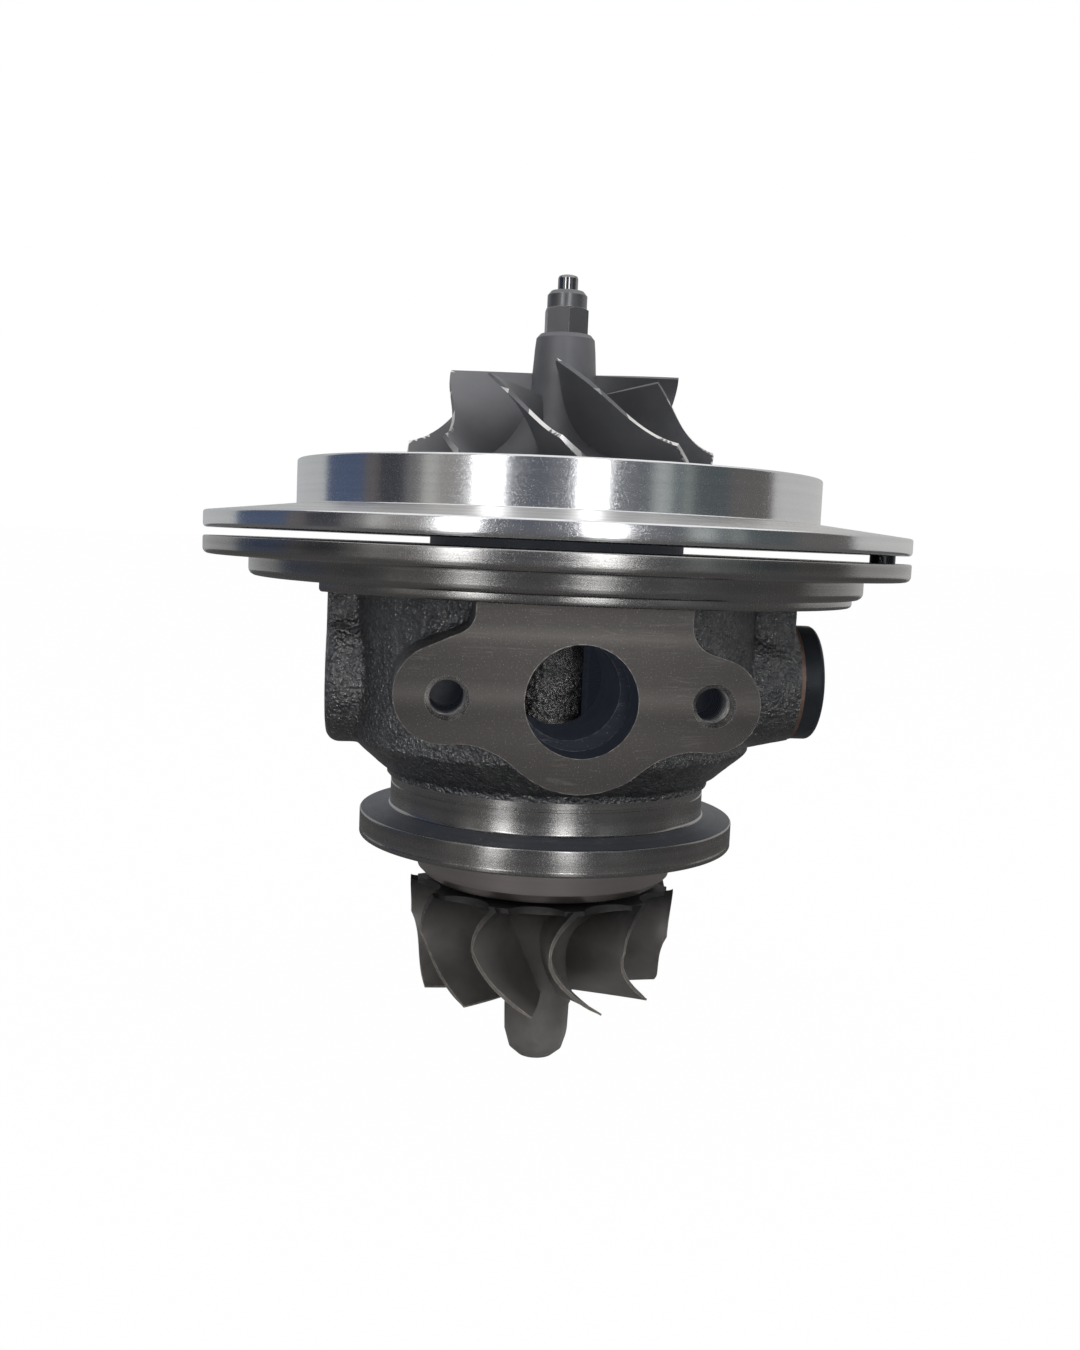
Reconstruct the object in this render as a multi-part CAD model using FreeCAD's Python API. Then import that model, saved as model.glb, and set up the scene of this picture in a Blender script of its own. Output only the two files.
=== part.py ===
import FreeCAD, Part
import math
import os

# A water-cooled turbocharger cartridge: bearing housing, rotor and all between them.
# Millimetres. The rotor axis is Z with the compressor end up, and the oil drain faces -Y.
# The origin lies on the axis, on the shoulder where the compressor cover seats on the backplate.
# Angles are degrees about Z, from the drain side (-Y) toward +X.

V = FreeCAD.Vector

# Backplate and compressor-side flange
pilot_r = 43.3
pilot_height = 7.2
disc_r = 57.9
disc_rim_top = 1.7
disc_bottom = 4.4
edge_chamfer = 0.35

# Slot between the backplate and the housing flange, bridged by the spigot and one pin
slot_width = 1.25
flange_thickness = 2.85
spigot_r = 21.3
spigot_depth = 3.2
spigot_clearance = 0.06
pin_r = 2.1
pin_inset = 3.9
pin_angle = 79.0
pin_engagement = 1.8
pin_clearance = 0.03

# Steps under the housing flange
ring_r = 50.7
ring_depth = 3.2
pad_ring_r = 49.0
pad_ring_depth = 1.3
pad_ring_start = -50.0
pad_ring_end = 151.0

# Cast body of the housing, its heights measured up from the foot of the neck
neck_bottom = 49.2
neck_r = 26.5
neck_height = 5.3
cast_band_r = 27.2
cast_band_height = 1.6
cone_r = 28.4
cone_height = 4.7
drum_r = 33.7

# V-band flange at the turbine end
vband_r = 31.6
vband_taper = 0.9
vband_thickness = 4.2
vband_groove_width = 0.35
vband_groove_depth = 0.3
vband_groove_rise = 0.7
seal_boss_r = 11.5
seal_boss_length = 3.3

# Oil drain pad
drain_face = 40.0
drain_z = -26.8
drain_r = 8.1
drain_bolt_offset = 19.0
drain_bolt_r = 2.5
drain_bolt_chamfer = 1.1
drain_bolt_depth = 14.0
pad_lobes = {
    -1: {"x": 19.5, "rise": 0.5, "r": 7.1, "fillet": 3.0, "slant": 24.0},
    1: {"x": 19.0, "rise": 0.0, "r": 6.8, "fillet": 4.0, "slant": 17.0},
}
pad_round_r = 13.3
pad_shoulder = 15.4
pad_lower_fillet = 12.0
drain_bore_depth = 7.0
drain_core_r = 7.5
drain_core_shift = 1.0
drain_window = (4.4, 9.5)

# Coolant ports
port_z = -26.8
port_boss_r = 12.4
port_bore_r = 6.2
port_bore_end = 25.6
port_passage_r = 4.6
port_chamfer = 1.0
open_port_face = 37.6
plug_port_face = 40.8
port_corner_r = 2.2
port_web_half = 8.5
plug_web_inset = 0.9
plug_taper_start = 30.0
plug_boss_end_r = 10.2
plug_washer_r = 9.9
plug_washer_thickness = 0.7
plug_head_r = 9.8
plug_head_height = 3.5
plug_head_round = 0.9
plug_shank_length = 9.5
plug_hex = 8.0
plug_hex_depth = 2.6
thread_clearance = 0.05

# Oil inlet
inlet_face = 37.0
inlet_z = -16.8
inlet_bore_r = 5.3
inlet_depth = 14.0
inlet_chamfer = 0.9
inlet_flat_half = 9.5
inlet_drill_r = 1.4
gallery_r = 1.6
gallery_y = 11.0
feed_r = 1.2

# Water jacket round the back of the bearing bore
jacket_in_r = 18.0
jacket_out_r = 25.0
jacket_rise = 1.2
jacket_drop = 12.7
jacket_end_angle = 68.0

# Bearing bore and oil spaces
bore_r = 6.44
bore_tube_r = 8.8
chamber_r = 15.5
chamber_wall = 1.8
chamber_rib_half = 4.2
oil_slot_half = 4.5
oil_slot_out = 14.0
oil_slot_in = 9.0
sling_groove_r = 10.4
sling_groove_rise = 3.6
sling_groove_width = 4.4

# Journal bearings and their clips
journal_r = 3.75
bearing_clearance_in = 0.03
bearing_clearance_out = 0.04
bearing_length = 7.5
bearing_drop = 3.5
low_bearing_rise = 13.2
bearing_chamfer = 0.4
bearing_hole_r = 0.9
clip_thickness = 0.8
clip_end_gap = 0.12
clip_groove_depth = 0.66
clip_reach = 1.0
clip_gap_angle = 60.0
clip_groove_spare = 0.05

# Thrust stack under the backplate
thrust_r = 12.5
thrust_pocket_clearance = 0.05
thrust_thickness = 3.3
thrust_bore_clearance = 0.3
thrust_play = 0.1
thrust_groove_depth = 0.35
thrust_groove_width = 1.2
thrust_groove_count = 6
thrust_pin_r = 1.0
thrust_pin_circle_r = 10.8
thrust_pin_depth = 4.0
baffle_thickness = 1.0
baffle_in_r = 8.45
tongue_half = 2.4
tongue_thickness = 0.8
collar_r = 4.7
washer_r = 8.0
washer_thickness = 1.6
washer_room = 0.7
flinger_flange_r = 8.0
flinger_flange_thickness = 1.4
flinger_r = 5.6
flinger_room = 0.3
flinger_side_room = 1.2

# Seal rings
comp_seal_bore_r = 5.75
comp_ring_width = 1.2
comp_ring_radial = 0.9
comp_ring_z = 2.0
turb_seal_bore_r = 8.6
turb_seal_clearance = 0.2
turb_ring_width = 1.4
turb_ring_radial = 1.35
turb_ring_drop = 0.7
ring_side_play = 0.06
ring_floor_room = 0.3
ring_gap = 0.4

# Backplate screws and O-ring
screw_count = 4
screw_circle_r = 15.7
screw_start = 45.0
screw_r = 2.0
screw_head_r = 3.4
screw_head_height = 2.6
screw_hex = 3.0
screw_hex_depth = 1.6
screw_reach = 9.0
screw_clearance = 0.2
screw_head_sink = 0.1
oring_r = 0.9
oring_squeeze = 0.1
oring_z = -2.9

# Shaft
shaft_nose_r = 2.5
shaft_relief_r = 3.4
shaft_fit = 0.02
shaft_root_r = 4.5
shaft_tip_r = 1.67
shaft_tip_length = 2.4
shaft_tip_round = 0.5

# Compressor wheel
comp_inducer_r = 19.0
comp_exducer_r = 25.5
comp_nose_r = 4.85
comp_eye_hub_r = 5.3
comp_blade_height = 16.1
comp_nose_height = 6.4
comp_exit_height = 4.0
comp_disc_thickness = 1.5
comp_disc_room = 0.5
comp_recess_room = 0.8
comp_boss_bottom = 4.0
comp_blade_count = 4
comp_first_blade = -10.5
comp_tip_thickness = 0.62
comp_root_thickness = 1.25
comp_splitter_start = 0.14
comp_tip_angles = (0.0, 80.0, -31.2)
comp_root_angles = (-2.5, 80.0, -18.5)

# Compressor nut
nut_hex = 6.8
nut_hex_height = 4.3
nut_collar_r = 3.3
nut_height = 7.1
nut_turn = 0.0

# Turbine wheel
turb_inducer_r = 22.6
turb_exducer_r = 20.5
turb_blade_room = 0.8
turb_inlet_height = 7.2
turb_blade_height = 17.6
turb_hub_past_blade = 0.8
turb_neck_r = 6.1
turb_nose_r = 5.5
turb_nose_length = 12.8
turb_nose_flat = 5.15
turb_blade_count = 11
turb_first_blade = -2.0
turb_inlet_rake = 10.0
turb_exit_sweep = 26.2
turb_tip_thickness = 0.6
turb_root_thickness = 1.5
turb_disc_r = 21.4
turb_disc_thickness = 1.3
turb_scallop_r = 5.6
turb_scallop_circle_r = 24.3
turb_weld_rise = 3.3

# Heat shield
shield_thickness = 0.8
shield_flange_r = 24.6
shield_r = 22.5
shield_knee_r = 21.5
shield_knee_drop = 5.4
shield_round = 1.0
shield_floor_r = 19.4
shield_depth = 7.1
shield_hole_room = 0.8

# Levels that follow from the sizes above
slot_bottom_z = -disc_bottom - slot_width
flange_bottom_z = slot_bottom_z - flange_thickness
ring_bottom_z = flange_bottom_z - ring_depth
pad_ring_bottom_z = ring_bottom_z - pad_ring_depth
spigot_top_z = -disc_bottom + spigot_depth
thrust_top_z = spigot_top_z - baffle_thickness
thrust_floor_z = thrust_top_z - thrust_thickness
washer_top_z = thrust_floor_z - thrust_play
washer_bottom_z = washer_top_z - washer_thickness
flinger_bottom_z = thrust_top_z + thrust_play
flinger_flange_top_z = flinger_bottom_z + flinger_flange_thickness
disc_floor_z = pilot_height - comp_disc_thickness - comp_disc_room
neck_top_z = -neck_bottom + neck_height
cone_foot_z = neck_top_z + cast_band_height
drum_foot_z = cone_foot_z + cone_height
vband_top_z = -neck_bottom - vband_taper
vband_bottom_z = vband_top_z - vband_thickness
seal_boss_end_z = vband_bottom_z - seal_boss_length
comp_blade_top = pilot_height + comp_blade_height
comp_hub_top = comp_blade_top + comp_nose_height
nut_top_z = comp_hub_top + nut_height
bearing_top_z = washer_bottom_z - bearing_drop
bearing_low_z = -neck_bottom + low_bearing_rise
chamber_top_z = bearing_top_z - bearing_length - chamber_wall
chamber_bottom_z = bearing_low_z + chamber_wall
sling_top_z = -neck_bottom + sling_groove_rise
sling_bottom_z = sling_top_z - sling_groove_width
jacket_top_z = port_z + jacket_rise
jacket_bottom_z = port_z - jacket_drop
turb_hub_r = turb_seal_bore_r - turb_seal_clearance
turb_weld_z = vband_bottom_z + turb_weld_rise
turb_ring_z = vband_bottom_z - turb_ring_drop
shield_floor_z = vband_bottom_z - shield_depth
turb_blade_top = shield_floor_z - turb_blade_room
turb_corner_z = turb_blade_top - turb_inlet_height
turb_tip_z = turb_blade_top - turb_blade_height
turb_hub_end_z = turb_tip_z - turb_hub_past_blade
turb_nose_end = turb_hub_end_z - turb_nose_length
pin_circle_r = disc_r - pin_inset


def direction(angle):
    """Unit vector in the ground plane at an angle from the drain side."""
    a = math.radians(angle)
    return V(math.sin(a), -math.cos(a), 0)


def at_angle(r, angle, z):
    """Point on a circle round the rotor axis."""
    return direction(angle) * r + V(0, 0, z)


def turned(points):
    """Solid of revolution from a closed outline of (radius, height) points."""
    wire = Part.makePolygon([V(r, 0, z) for r, z in points + points[:1]])
    return Part.Face(wire).revolve(V(0, 0, 0), V(0, 0, 1), 360)


def turned_edges(edges):
    """Solid of revolution from the edges of a closed outline in the XZ plane."""
    wire = Part.Wire(Part.__sortEdges__(edges))
    return Part.Face(wire).revolve(V(0, 0, 0), V(0, 0, 1), 360)


def rod(r, low, high, centre=None):
    """Upright cylinder between two heights."""
    foot = V(0, 0, low) if centre is None else V(centre.x, centre.y, low)
    return Part.makeCylinder(r, high - low, foot, V(0, 0, 1))


def tube(r_out, r_in, low, high):
    """Upright tube between two heights."""
    return rod(r_out, low, high).cut(rod(r_in, low - 1, high + 1))


def side_rod(r, angle, z, near, far, shift=0.0, lift=0.0):
    """Cylinder lying along a radius, between two distances from the axis."""
    along = direction(angle)
    across = V(-along.y, along.x, 0)
    foot = along * near + across * shift + V(0, 0, z + lift)
    return Part.makeCylinder(r, far - near, foot, along)


def side_cone(r_near, r_far, angle, z, near, far, shift=0.0):
    """Cone lying along a radius, used for thread chamfers."""
    along = direction(angle)
    across = V(-along.y, along.x, 0)
    foot = along * near + across * shift + V(0, 0, z)
    return Part.makeCone(r_near, r_far, far - near, foot, along)


def block(x, y, z):
    """Box from its ranges along X, Y and Z."""
    return Part.makeBox(x[1] - x[0], y[1] - y[0], z[1] - z[0], V(x[0], y[0], z[0]))


def hex_prism(across_flats, foot, axis, height, turn=0.0):
    """Hexagonal prism standing on a point, along an axis."""
    corner = across_flats / math.sqrt(3)
    points = []
    for i in range(7):
        a = math.radians(60 * i + turn)
        points.append(V(corner * math.cos(a), corner * math.sin(a), 0))
    prism = Part.Face(Part.makePolygon(points)).extrude(V(0, 0, height))
    prism.Placement = FreeCAD.Placement(foot, FreeCAD.Rotation(V(0, 0, 1), axis))
    return prism


def spin(shape, angle):
    """Copy of a shape, turned about the rotor axis."""
    copy = shape.copy()
    copy.rotate(V(0, 0, 0), V(0, 0, 1), angle)
    return copy


def split_ring(r_out, r_in, low, high, gap, angle):
    """Ring with a straight end gap, as piston rings and wire clips have."""
    ring = tube(r_out, r_in, low, high)
    slit = block((0, r_out + 1), (-gap / 2, gap / 2), (low - 1, high + 1))
    return ring.cut(spin(slit, angle - 90))


def sector(r, low, high, start, end):
    """Pie slice between two angles, used to limit a ring."""
    slice_solid = Part.makeCylinder(r, high - low, V(0, 0, low), V(0, 0, 1), end - start)
    return spin(slice_solid, start - 90)


def spline_edge(points):
    """Smooth edge in the XZ plane through (radius, height) points."""
    curve = Part.BSplineCurve()
    curve.interpolate([V(r, 0, z) for r, z in points])
    return curve.toShape()


def line_edge(a, b):
    """Straight edge in the XZ plane between two (radius, height) points."""
    return Part.makeLine(V(a[0], 0, a[1]), V(b[0], 0, b[1]))


def curve_point(points, t):
    """Point at a share t of a smooth (radius, height) curve."""
    curve = Part.BSplineCurve()
    curve.interpolate([V(r, 0, z) for r, z in points])
    first = curve.FirstParameter
    p = curve.value(first + (curve.LastParameter - first) * t)
    return p.x, p.z


def skinned(grid_a, grid_b):
    """Solid between two smooth faces given as grids of points with matching edges."""
    faces = []
    rims = []
    for grid in (grid_a, grid_b):
        surface = Part.BSplineSurface()
        surface.interpolate(grid)
        u0, u1, v0, v1 = surface.bounds()
        faces.append(surface.toShape())
        curves = (surface.uIso(u0), surface.uIso(u1), surface.vIso(v0), surface.vIso(v1))
        rims.append([curve.toShape() for curve in curves])
    for edge_a, edge_b in zip(rims[0], rims[1]):
        faces.append(Part.makeRuledSurface(edge_a, edge_b))
    shell = Part.makeShell(faces)
    shell.sewShape()
    solid = Part.Solid(shell)
    if solid.Volume < 0:
        solid.reverse()
    return solid


def blade(stations, spans, place, thickness):
    """Blade between two faces set off either side of its camber sheet.

    place(t, s) gives radius, angle and height at a share t of the chord and s of the span.
    """
    grids = ([], [])
    step = 0.001
    for i in range(stations + 1):
        t = i / stations
        rows = ([], [])
        for j in range(spans + 1):
            s = j / spans
            point = at_angle(*place(t, s))
            ahead = at_angle(*place(min(t + step, 1.0), s)) - at_angle(*place(max(t - step, 0.0), s))
            out = at_angle(*place(t, min(s + step, 1.0))) - at_angle(*place(t, max(s - step, 0.0)))
            normal = ahead.cross(out)
            normal.normalize()
            half = thickness(t, s) / 2
            rows[0].append(point + normal * half)
            rows[1].append(point - normal * half)
        grids[0].append(rows[0])
        grids[1].append(rows[1])
    return skinned(grids[0], grids[1])


def pad_side(side):
    """Points of one half of the drain pad, from the top down, with x counted outward.

    A shoulder, a fillet, a slanted edge down to the bolt lobe, a hollow and the round lower lobe.
    """
    lobe = pad_lobes[side]
    centre = (lobe["x"], drain_z + lobe["rise"])
    middle = (0.0, drain_z)
    slant = math.radians(lobe["slant"])
    square = (math.sin(slant), math.cos(slant))
    crown = (centre[0] + lobe["r"] * square[0], centre[1] + lobe["r"] * square[1])
    bend_x = pad_shoulder + lobe["fillet"]
    reach = square[0] * crown[0] + square[1] * crown[1] + lobe["fillet"]
    bend_z = (reach - square[0] * bend_x) / square[1]
    half_turn = (math.pi / 2 - slant) / 2
    bend_mid = (bend_x - lobe["fillet"] * math.cos(half_turn), bend_z - lobe["fillet"] * math.sin(half_turn))
    bend_end = (bend_x - lobe["fillet"] * square[0], bend_z - lobe["fillet"] * square[1])
    to_lobe = lobe["r"] + pad_lower_fillet
    to_round = pad_round_r + pad_lower_fillet
    apart = math.hypot(centre[0], centre[1] - drain_z)
    out = (centre[0] / apart, (centre[1] - drain_z) / apart)
    share = (to_round ** 2 - to_lobe ** 2 + apart ** 2) / (2 * apart)
    drop = math.sqrt(to_round ** 2 - share ** 2)
    hollow = (out[0] * share + out[1] * drop, drain_z + out[1] * share - out[0] * drop)

    def toward(a, b, distance):
        length = math.hypot(b[0] - a[0], b[1] - a[1])
        return (a[0] + (b[0] - a[0]) * distance / length, a[1] + (b[1] - a[1]) * distance / length)

    lobe_end = toward(centre, hollow, lobe["r"])
    round_start = toward(middle, hollow, pad_round_r)
    chord_mid = ((lobe_end[0] + round_start[0]) / 2, (lobe_end[1] + round_start[1]) / 2)
    return {
        "shoulder": (pad_shoulder, bend_z), "bend": bend_mid, "bend_end": bend_end, "crown": crown,
        "lobe": (centre[0] + lobe["r"], centre[1]), "lobe_end": lobe_end,
        "hollow": toward(hollow, chord_mid, pad_lower_fillet), "round_start": round_start}


def drain_pad_outline(face):
    """Face of the drain pad. All corners are arcs that meet their neighbours smoothly."""
    top_z = pad_ring_bottom_z + 1
    edges = []
    ends = []
    for side in (1, -1):
        at = {key: V(side * x, -face, z) for key, (x, z) in pad_side(side).items()}
        top = V(side * pad_shoulder, -face, top_z)
        edges.append(Part.makeLine(top, at["shoulder"]))
        edges.append(Part.Arc(at["shoulder"], at["bend"], at["bend_end"]).toShape())
        edges.append(Part.makeLine(at["bend_end"], at["crown"]))
        edges.append(Part.Arc(at["crown"], at["lobe"], at["lobe_end"]).toShape())
        edges.append(Part.Arc(at["lobe_end"], at["hollow"], at["round_start"]).toShape())
        ends.append((top, at["round_start"]))
    edges.append(Part.Arc(ends[0][1], V(0, -face, drain_z - pad_round_r), ends[1][1]).toShape())
    edges.append(Part.makeLine(ends[0][0], ends[1][0]))
    return Part.Face(Part.Wire(Part.__sortEdges__(edges)))


def housing_casting():
    """Outside of the bearing housing: turned flanges, cast drum, bosses and drain pad."""
    c = edge_chamfer
    body = turned([
        (0, spigot_top_z), (spigot_r - c, spigot_top_z), (spigot_r, spigot_top_z - c),
        (spigot_r, slot_bottom_z), (disc_r - c, slot_bottom_z), (disc_r, slot_bottom_z - c),
        (disc_r, flange_bottom_z + c), (disc_r - c, flange_bottom_z), (ring_r, flange_bottom_z),
        (ring_r, ring_bottom_z + c), (ring_r - c, ring_bottom_z), (drum_r, ring_bottom_z),
        (drum_r, drum_foot_z), (cone_r, cone_foot_z), (cast_band_r, cone_foot_z - c),
        (cast_band_r, neck_top_z), (neck_r, neck_top_z - c), (neck_r, -neck_bottom),
        (vband_r - c, vband_top_z), (vband_r, vband_top_z - c), (vband_r, vband_bottom_z + c),
        (vband_r - c, vband_bottom_z), (seal_boss_r, vband_bottom_z),
        (seal_boss_r, seal_boss_end_z), (0, seal_boss_end_z)])
    thick_ring = rod(pad_ring_r, pad_ring_bottom_z, ring_bottom_z)
    limit = sector(pad_ring_r + 1, pad_ring_bottom_z - 1, ring_bottom_z + 1, pad_ring_start, pad_ring_end)
    open_boss = side_rod(port_boss_r, -90, port_z, jacket_in_r, open_port_face)
    rim = [e for e in open_boss.Edges if abs(e.CenterOfMass.x + open_port_face) < 0.01]
    open_boss = open_boss.makeFillet(port_corner_r, rim)
    open_web = port_web((-open_port_face, -jacket_in_r))
    plug_web = port_web((jacket_in_r, plug_port_face - plug_web_inset))
    plug_boss = side_rod(port_boss_r, 90, port_z, jacket_in_r, plug_taper_start)
    plug_end = side_cone(port_boss_r, plug_boss_end_r, 90, port_z, plug_taper_start, plug_port_face)
    inlet = block((-inlet_flat_half, inlet_flat_half), (gallery_y, inlet_face),
                  (inlet_z - inlet_flat_half, ring_bottom_z))
    pad = drain_pad_outline(drain_face).extrude(V(0, drain_face - chamber_r, 0))
    return body.fuse([thick_ring.common(limit), pad, inlet, open_boss, open_web, plug_boss, plug_end, plug_web])


def port_web(x):
    """Web that carries a coolant port boss up to the flange, its outer corners rounded."""
    web = block(x, (-port_web_half, port_web_half), (port_z, ring_bottom_z))
    outer = max(x, key=abs)
    corners = [e for e in web.Edges if abs(e.CenterOfMass.x - outer) < 0.01 and abs(e.CenterOfMass.y) > 1]
    return web.makeFillet(port_corner_r, corners)


def housing_cavities():
    """Everything that is bored, cored or tapped in the bearing housing."""
    cuts = []
    # Bearing bore, thrust pocket, thrust washer room, turbine seal bore
    cuts.append(rod(bore_r, sling_top_z - 1, spigot_top_z))
    cuts.append(rod(thrust_r + thrust_pocket_clearance, thrust_floor_z, spigot_top_z + 1))
    cuts.append(rod(washer_r + flinger_side_room, washer_bottom_z - washer_room, thrust_floor_z + 1))
    cuts.append(rod(turb_seal_bore_r, seal_boss_end_z - 1, sling_bottom_z + 1))
    cuts.append(rod(sling_groove_r, sling_bottom_z, sling_top_z))
    for low in clip_levels():
        spare = clip_groove_spare
        cuts.append(rod(bore_r + clip_groove_depth, low - spare, low + clip_thickness + spare))
    # Cored oil chamber round the bearing tube, its slots and the drain
    wet = tube(chamber_r, bore_tube_r, chamber_bottom_z, chamber_top_z)
    rib = block((-chamber_rib_half, chamber_rib_half), (0, chamber_r + 1), (chamber_bottom_z, chamber_top_z))
    drain_step = drain_face - drain_bore_depth
    core = side_rod(drain_core_r, 0, drain_z, 0, drain_step, -drain_core_shift, drain_core_shift)
    core = core.cut(rod(bore_tube_r, chamber_bottom_z, chamber_top_z))
    cuts.append(wet.cut(rib))
    cuts.append(core)
    cuts.append(block(drain_window, (-bore_tube_r - 1, 0), (chamber_bottom_z, chamber_top_z)))
    cuts.append(side_rod(drain_r, 0, drain_z, drain_step, drain_face + 1))
    slot_x = (-oil_slot_half, oil_slot_half)
    cuts.append(block(slot_x, (-oil_slot_out, -oil_slot_in), (chamber_top_z - 1, thrust_floor_z + 0.5))
                .common(rod(thrust_r, chamber_top_z - 1, thrust_floor_z + 1)))
    cuts.append(block(slot_x, (-oil_slot_out, -oil_slot_in), (sling_bottom_z, chamber_bottom_z + 1)))
    # Drain pad bolt holes
    for side in (-1, 1):
        x = side * drain_bolt_offset
        cuts.append(side_rod(drain_bolt_r, 0, drain_z, drain_face - drain_bolt_depth, drain_face + 1, x))
        cuts.append(side_cone(drain_bolt_r, drain_bolt_r + drain_bolt_chamfer, 0, drain_z,
                              drain_face - drain_bolt_chamfer, drain_face, x))
    # Water jacket and its two ports
    jacket = tube(jacket_out_r, jacket_in_r, jacket_bottom_z, jacket_top_z)
    cuts.append(jacket.common(sector(jacket_out_r + 1, jacket_bottom_z, jacket_top_z,
                                     jacket_end_angle, 360 - jacket_end_angle)))
    jacket_mid = (jacket_in_r + jacket_out_r) / 2
    for angle, face in ((-90, open_port_face), (90, plug_port_face)):
        cuts.append(side_rod(port_passage_r, angle, port_z, jacket_mid, port_bore_end + 1))
        cuts.append(side_rod(port_bore_r, angle, port_z, port_bore_end, face + 1))
        cuts.append(side_cone(port_bore_r, port_bore_r + port_chamfer, angle, port_z,
                              face - port_chamfer, face))
    # Oil inlet, gallery and feeds to both bearings
    cuts.append(side_rod(inlet_bore_r, 180, inlet_z, inlet_face - inlet_depth, inlet_face + 1))
    cuts.append(side_cone(inlet_bore_r, inlet_bore_r + inlet_chamfer, 180, inlet_z,
                          inlet_face - inlet_chamfer, inlet_face))
    cuts.append(side_rod(inlet_drill_r, 180, inlet_z, gallery_y, inlet_face - inlet_depth + 1))
    low_mid = bearing_low_z - bearing_length / 2
    top_mid = bearing_top_z - bearing_length / 2
    cuts.append(rod(gallery_r, low_mid - gallery_r, thrust_floor_z + 0.5, V(0, gallery_y, 0)))
    for z in (top_mid, low_mid):
        cuts.append(side_rod(feed_r, 180, z, journal_r, gallery_y))
    # Holes for pins and screws
    cuts.append(rod(pin_r, flange_bottom_z - 1, slot_bottom_z + 1, at_angle(pin_circle_r, pin_angle, 0)))
    for angle in (-90, 90):
        cuts.append(rod(thrust_pin_r, thrust_floor_z - thrust_pin_depth, thrust_floor_z + 1,
                        at_angle(thrust_pin_circle_r, angle, 0)))
    for i in range(screw_count):
        place = at_angle(screw_circle_r, screw_start + 360 * i / screw_count, 0)
        cuts.append(rod(screw_r + thread_clearance, spigot_top_z - screw_reach - 1, spigot_top_z + 1, place))
    # O-ring groove on the spigot and witness groove on the V-band rim
    cuts.append(tube(spigot_r + 1, oring_floor_r(), oring_z - oring_r * 1.25, oring_z + oring_r * 1.25))
    groove_z = vband_bottom_z + vband_groove_rise
    cuts.append(tube(vband_r + 1, vband_r - vband_groove_depth, groove_z, groove_z + vband_groove_width))
    return cuts


def clip_levels():
    """Undersides of the four clips, one either side of each journal bearing."""
    levels = []
    for top in (bearing_top_z, bearing_low_z):
        levels.append(top + clip_end_gap)
        levels.append(top - bearing_length - clip_end_gap - clip_thickness)
    return levels


def oring_floor_r():
    """Bottom of the O-ring groove, set by the ring and its squeeze against the backplate."""
    return spigot_r + spigot_clearance - 2 * oring_r + oring_squeeze


def bearing_housing():
    return housing_casting().cut(housing_cavities())


def backplate():
    """Aluminium plate: cover pilot above, conical shoulder, spigot recess below, wheel recess on top."""
    c = edge_chamfer
    slope_z = -disc_rim_top
    plate = turned([
        (comp_seal_bore_r, disc_floor_z), (comp_exducer_r + comp_recess_room, disc_floor_z),
        (comp_exducer_r + comp_recess_room, pilot_height), (pilot_r - c, pilot_height),
        (pilot_r, pilot_height - c), (pilot_r, 0), (disc_r - c, slope_z + c * 0.1), (disc_r, slope_z - c),
        (disc_r, -disc_bottom + c), (disc_r - c, -disc_bottom),
        (spigot_r + spigot_clearance, -disc_bottom), (spigot_r + spigot_clearance, spigot_top_z),
        (washer_r + flinger_side_room, spigot_top_z),
        (washer_r + flinger_side_room, flinger_flange_top_z + flinger_room),
        (comp_seal_bore_r, flinger_flange_top_z + flinger_room)])
    holes = [rod(pin_r + pin_clearance, -disc_bottom - 1, -disc_bottom + pin_engagement,
                 at_angle(pin_circle_r, pin_angle, 0))]
    for i in range(screw_count):
        place = at_angle(screw_circle_r, screw_start + 360 * i / screw_count, 0)
        holes.append(rod(screw_r + screw_clearance, spigot_top_z - 1, disc_floor_z + 1, place))
        holes.append(rod(screw_head_r + screw_clearance, disc_floor_z - screw_head_height, disc_floor_z + 1, place))
    return plate.cut(holes)


def backplate_screws():
    """Socket screws sunk in the wheel recess, clamping the backplate to the spigot."""
    screws = []
    head_low = disc_floor_z - screw_head_height
    for i in range(screw_count):
        place = at_angle(screw_circle_r, screw_start + 360 * i / screw_count, 0)
        head = rod(screw_head_r, head_low, disc_floor_z - screw_head_sink, place)
        shank = rod(screw_r, spigot_top_z - screw_reach, head_low, place)
        socket_foot = V(place.x, place.y, disc_floor_z - screw_head_sink - screw_hex_depth)
        socket = hex_prism(screw_hex, socket_foot, V(0, 0, 1), screw_hex_depth + 1)
        screws.append(head.fuse(shank).cut(socket))
    return Part.makeCompound(screws)


def backplate_o_ring():
    mid_r = oring_floor_r() + oring_r - oring_squeeze / 2
    ring = Part.makeTorus(mid_r, oring_r, V(0, 0, oring_z), V(0, 0, 1))
    return ring.common(tube(spigot_r + spigot_clearance, oring_floor_r(), oring_z - 2, oring_z + 2))


def locating_pin():
    place = at_angle(pin_circle_r, pin_angle, 0)
    pin = rod(pin_r, flange_bottom_z + 0.2, -disc_bottom + pin_engagement - 0.2, place)
    ends = [e for e in pin.Edges if len(e.Vertexes) == 1]
    return pin.makeChamfer(0.3, ends)


def oil_baffle():
    """Sheet ring over the thrust bearing with a tongue that throws the oil down to the drain."""
    ring = tube(thrust_r, baffle_in_r, thrust_top_z, spigot_top_z)
    tongue = block((-tongue_half, tongue_half), (-thrust_r + 0.4, -thrust_r + 0.4 + tongue_thickness),
                   (thrust_floor_z + 0.2, thrust_top_z + 0.2))
    return ring.fuse(tongue).removeSplitter()


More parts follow.
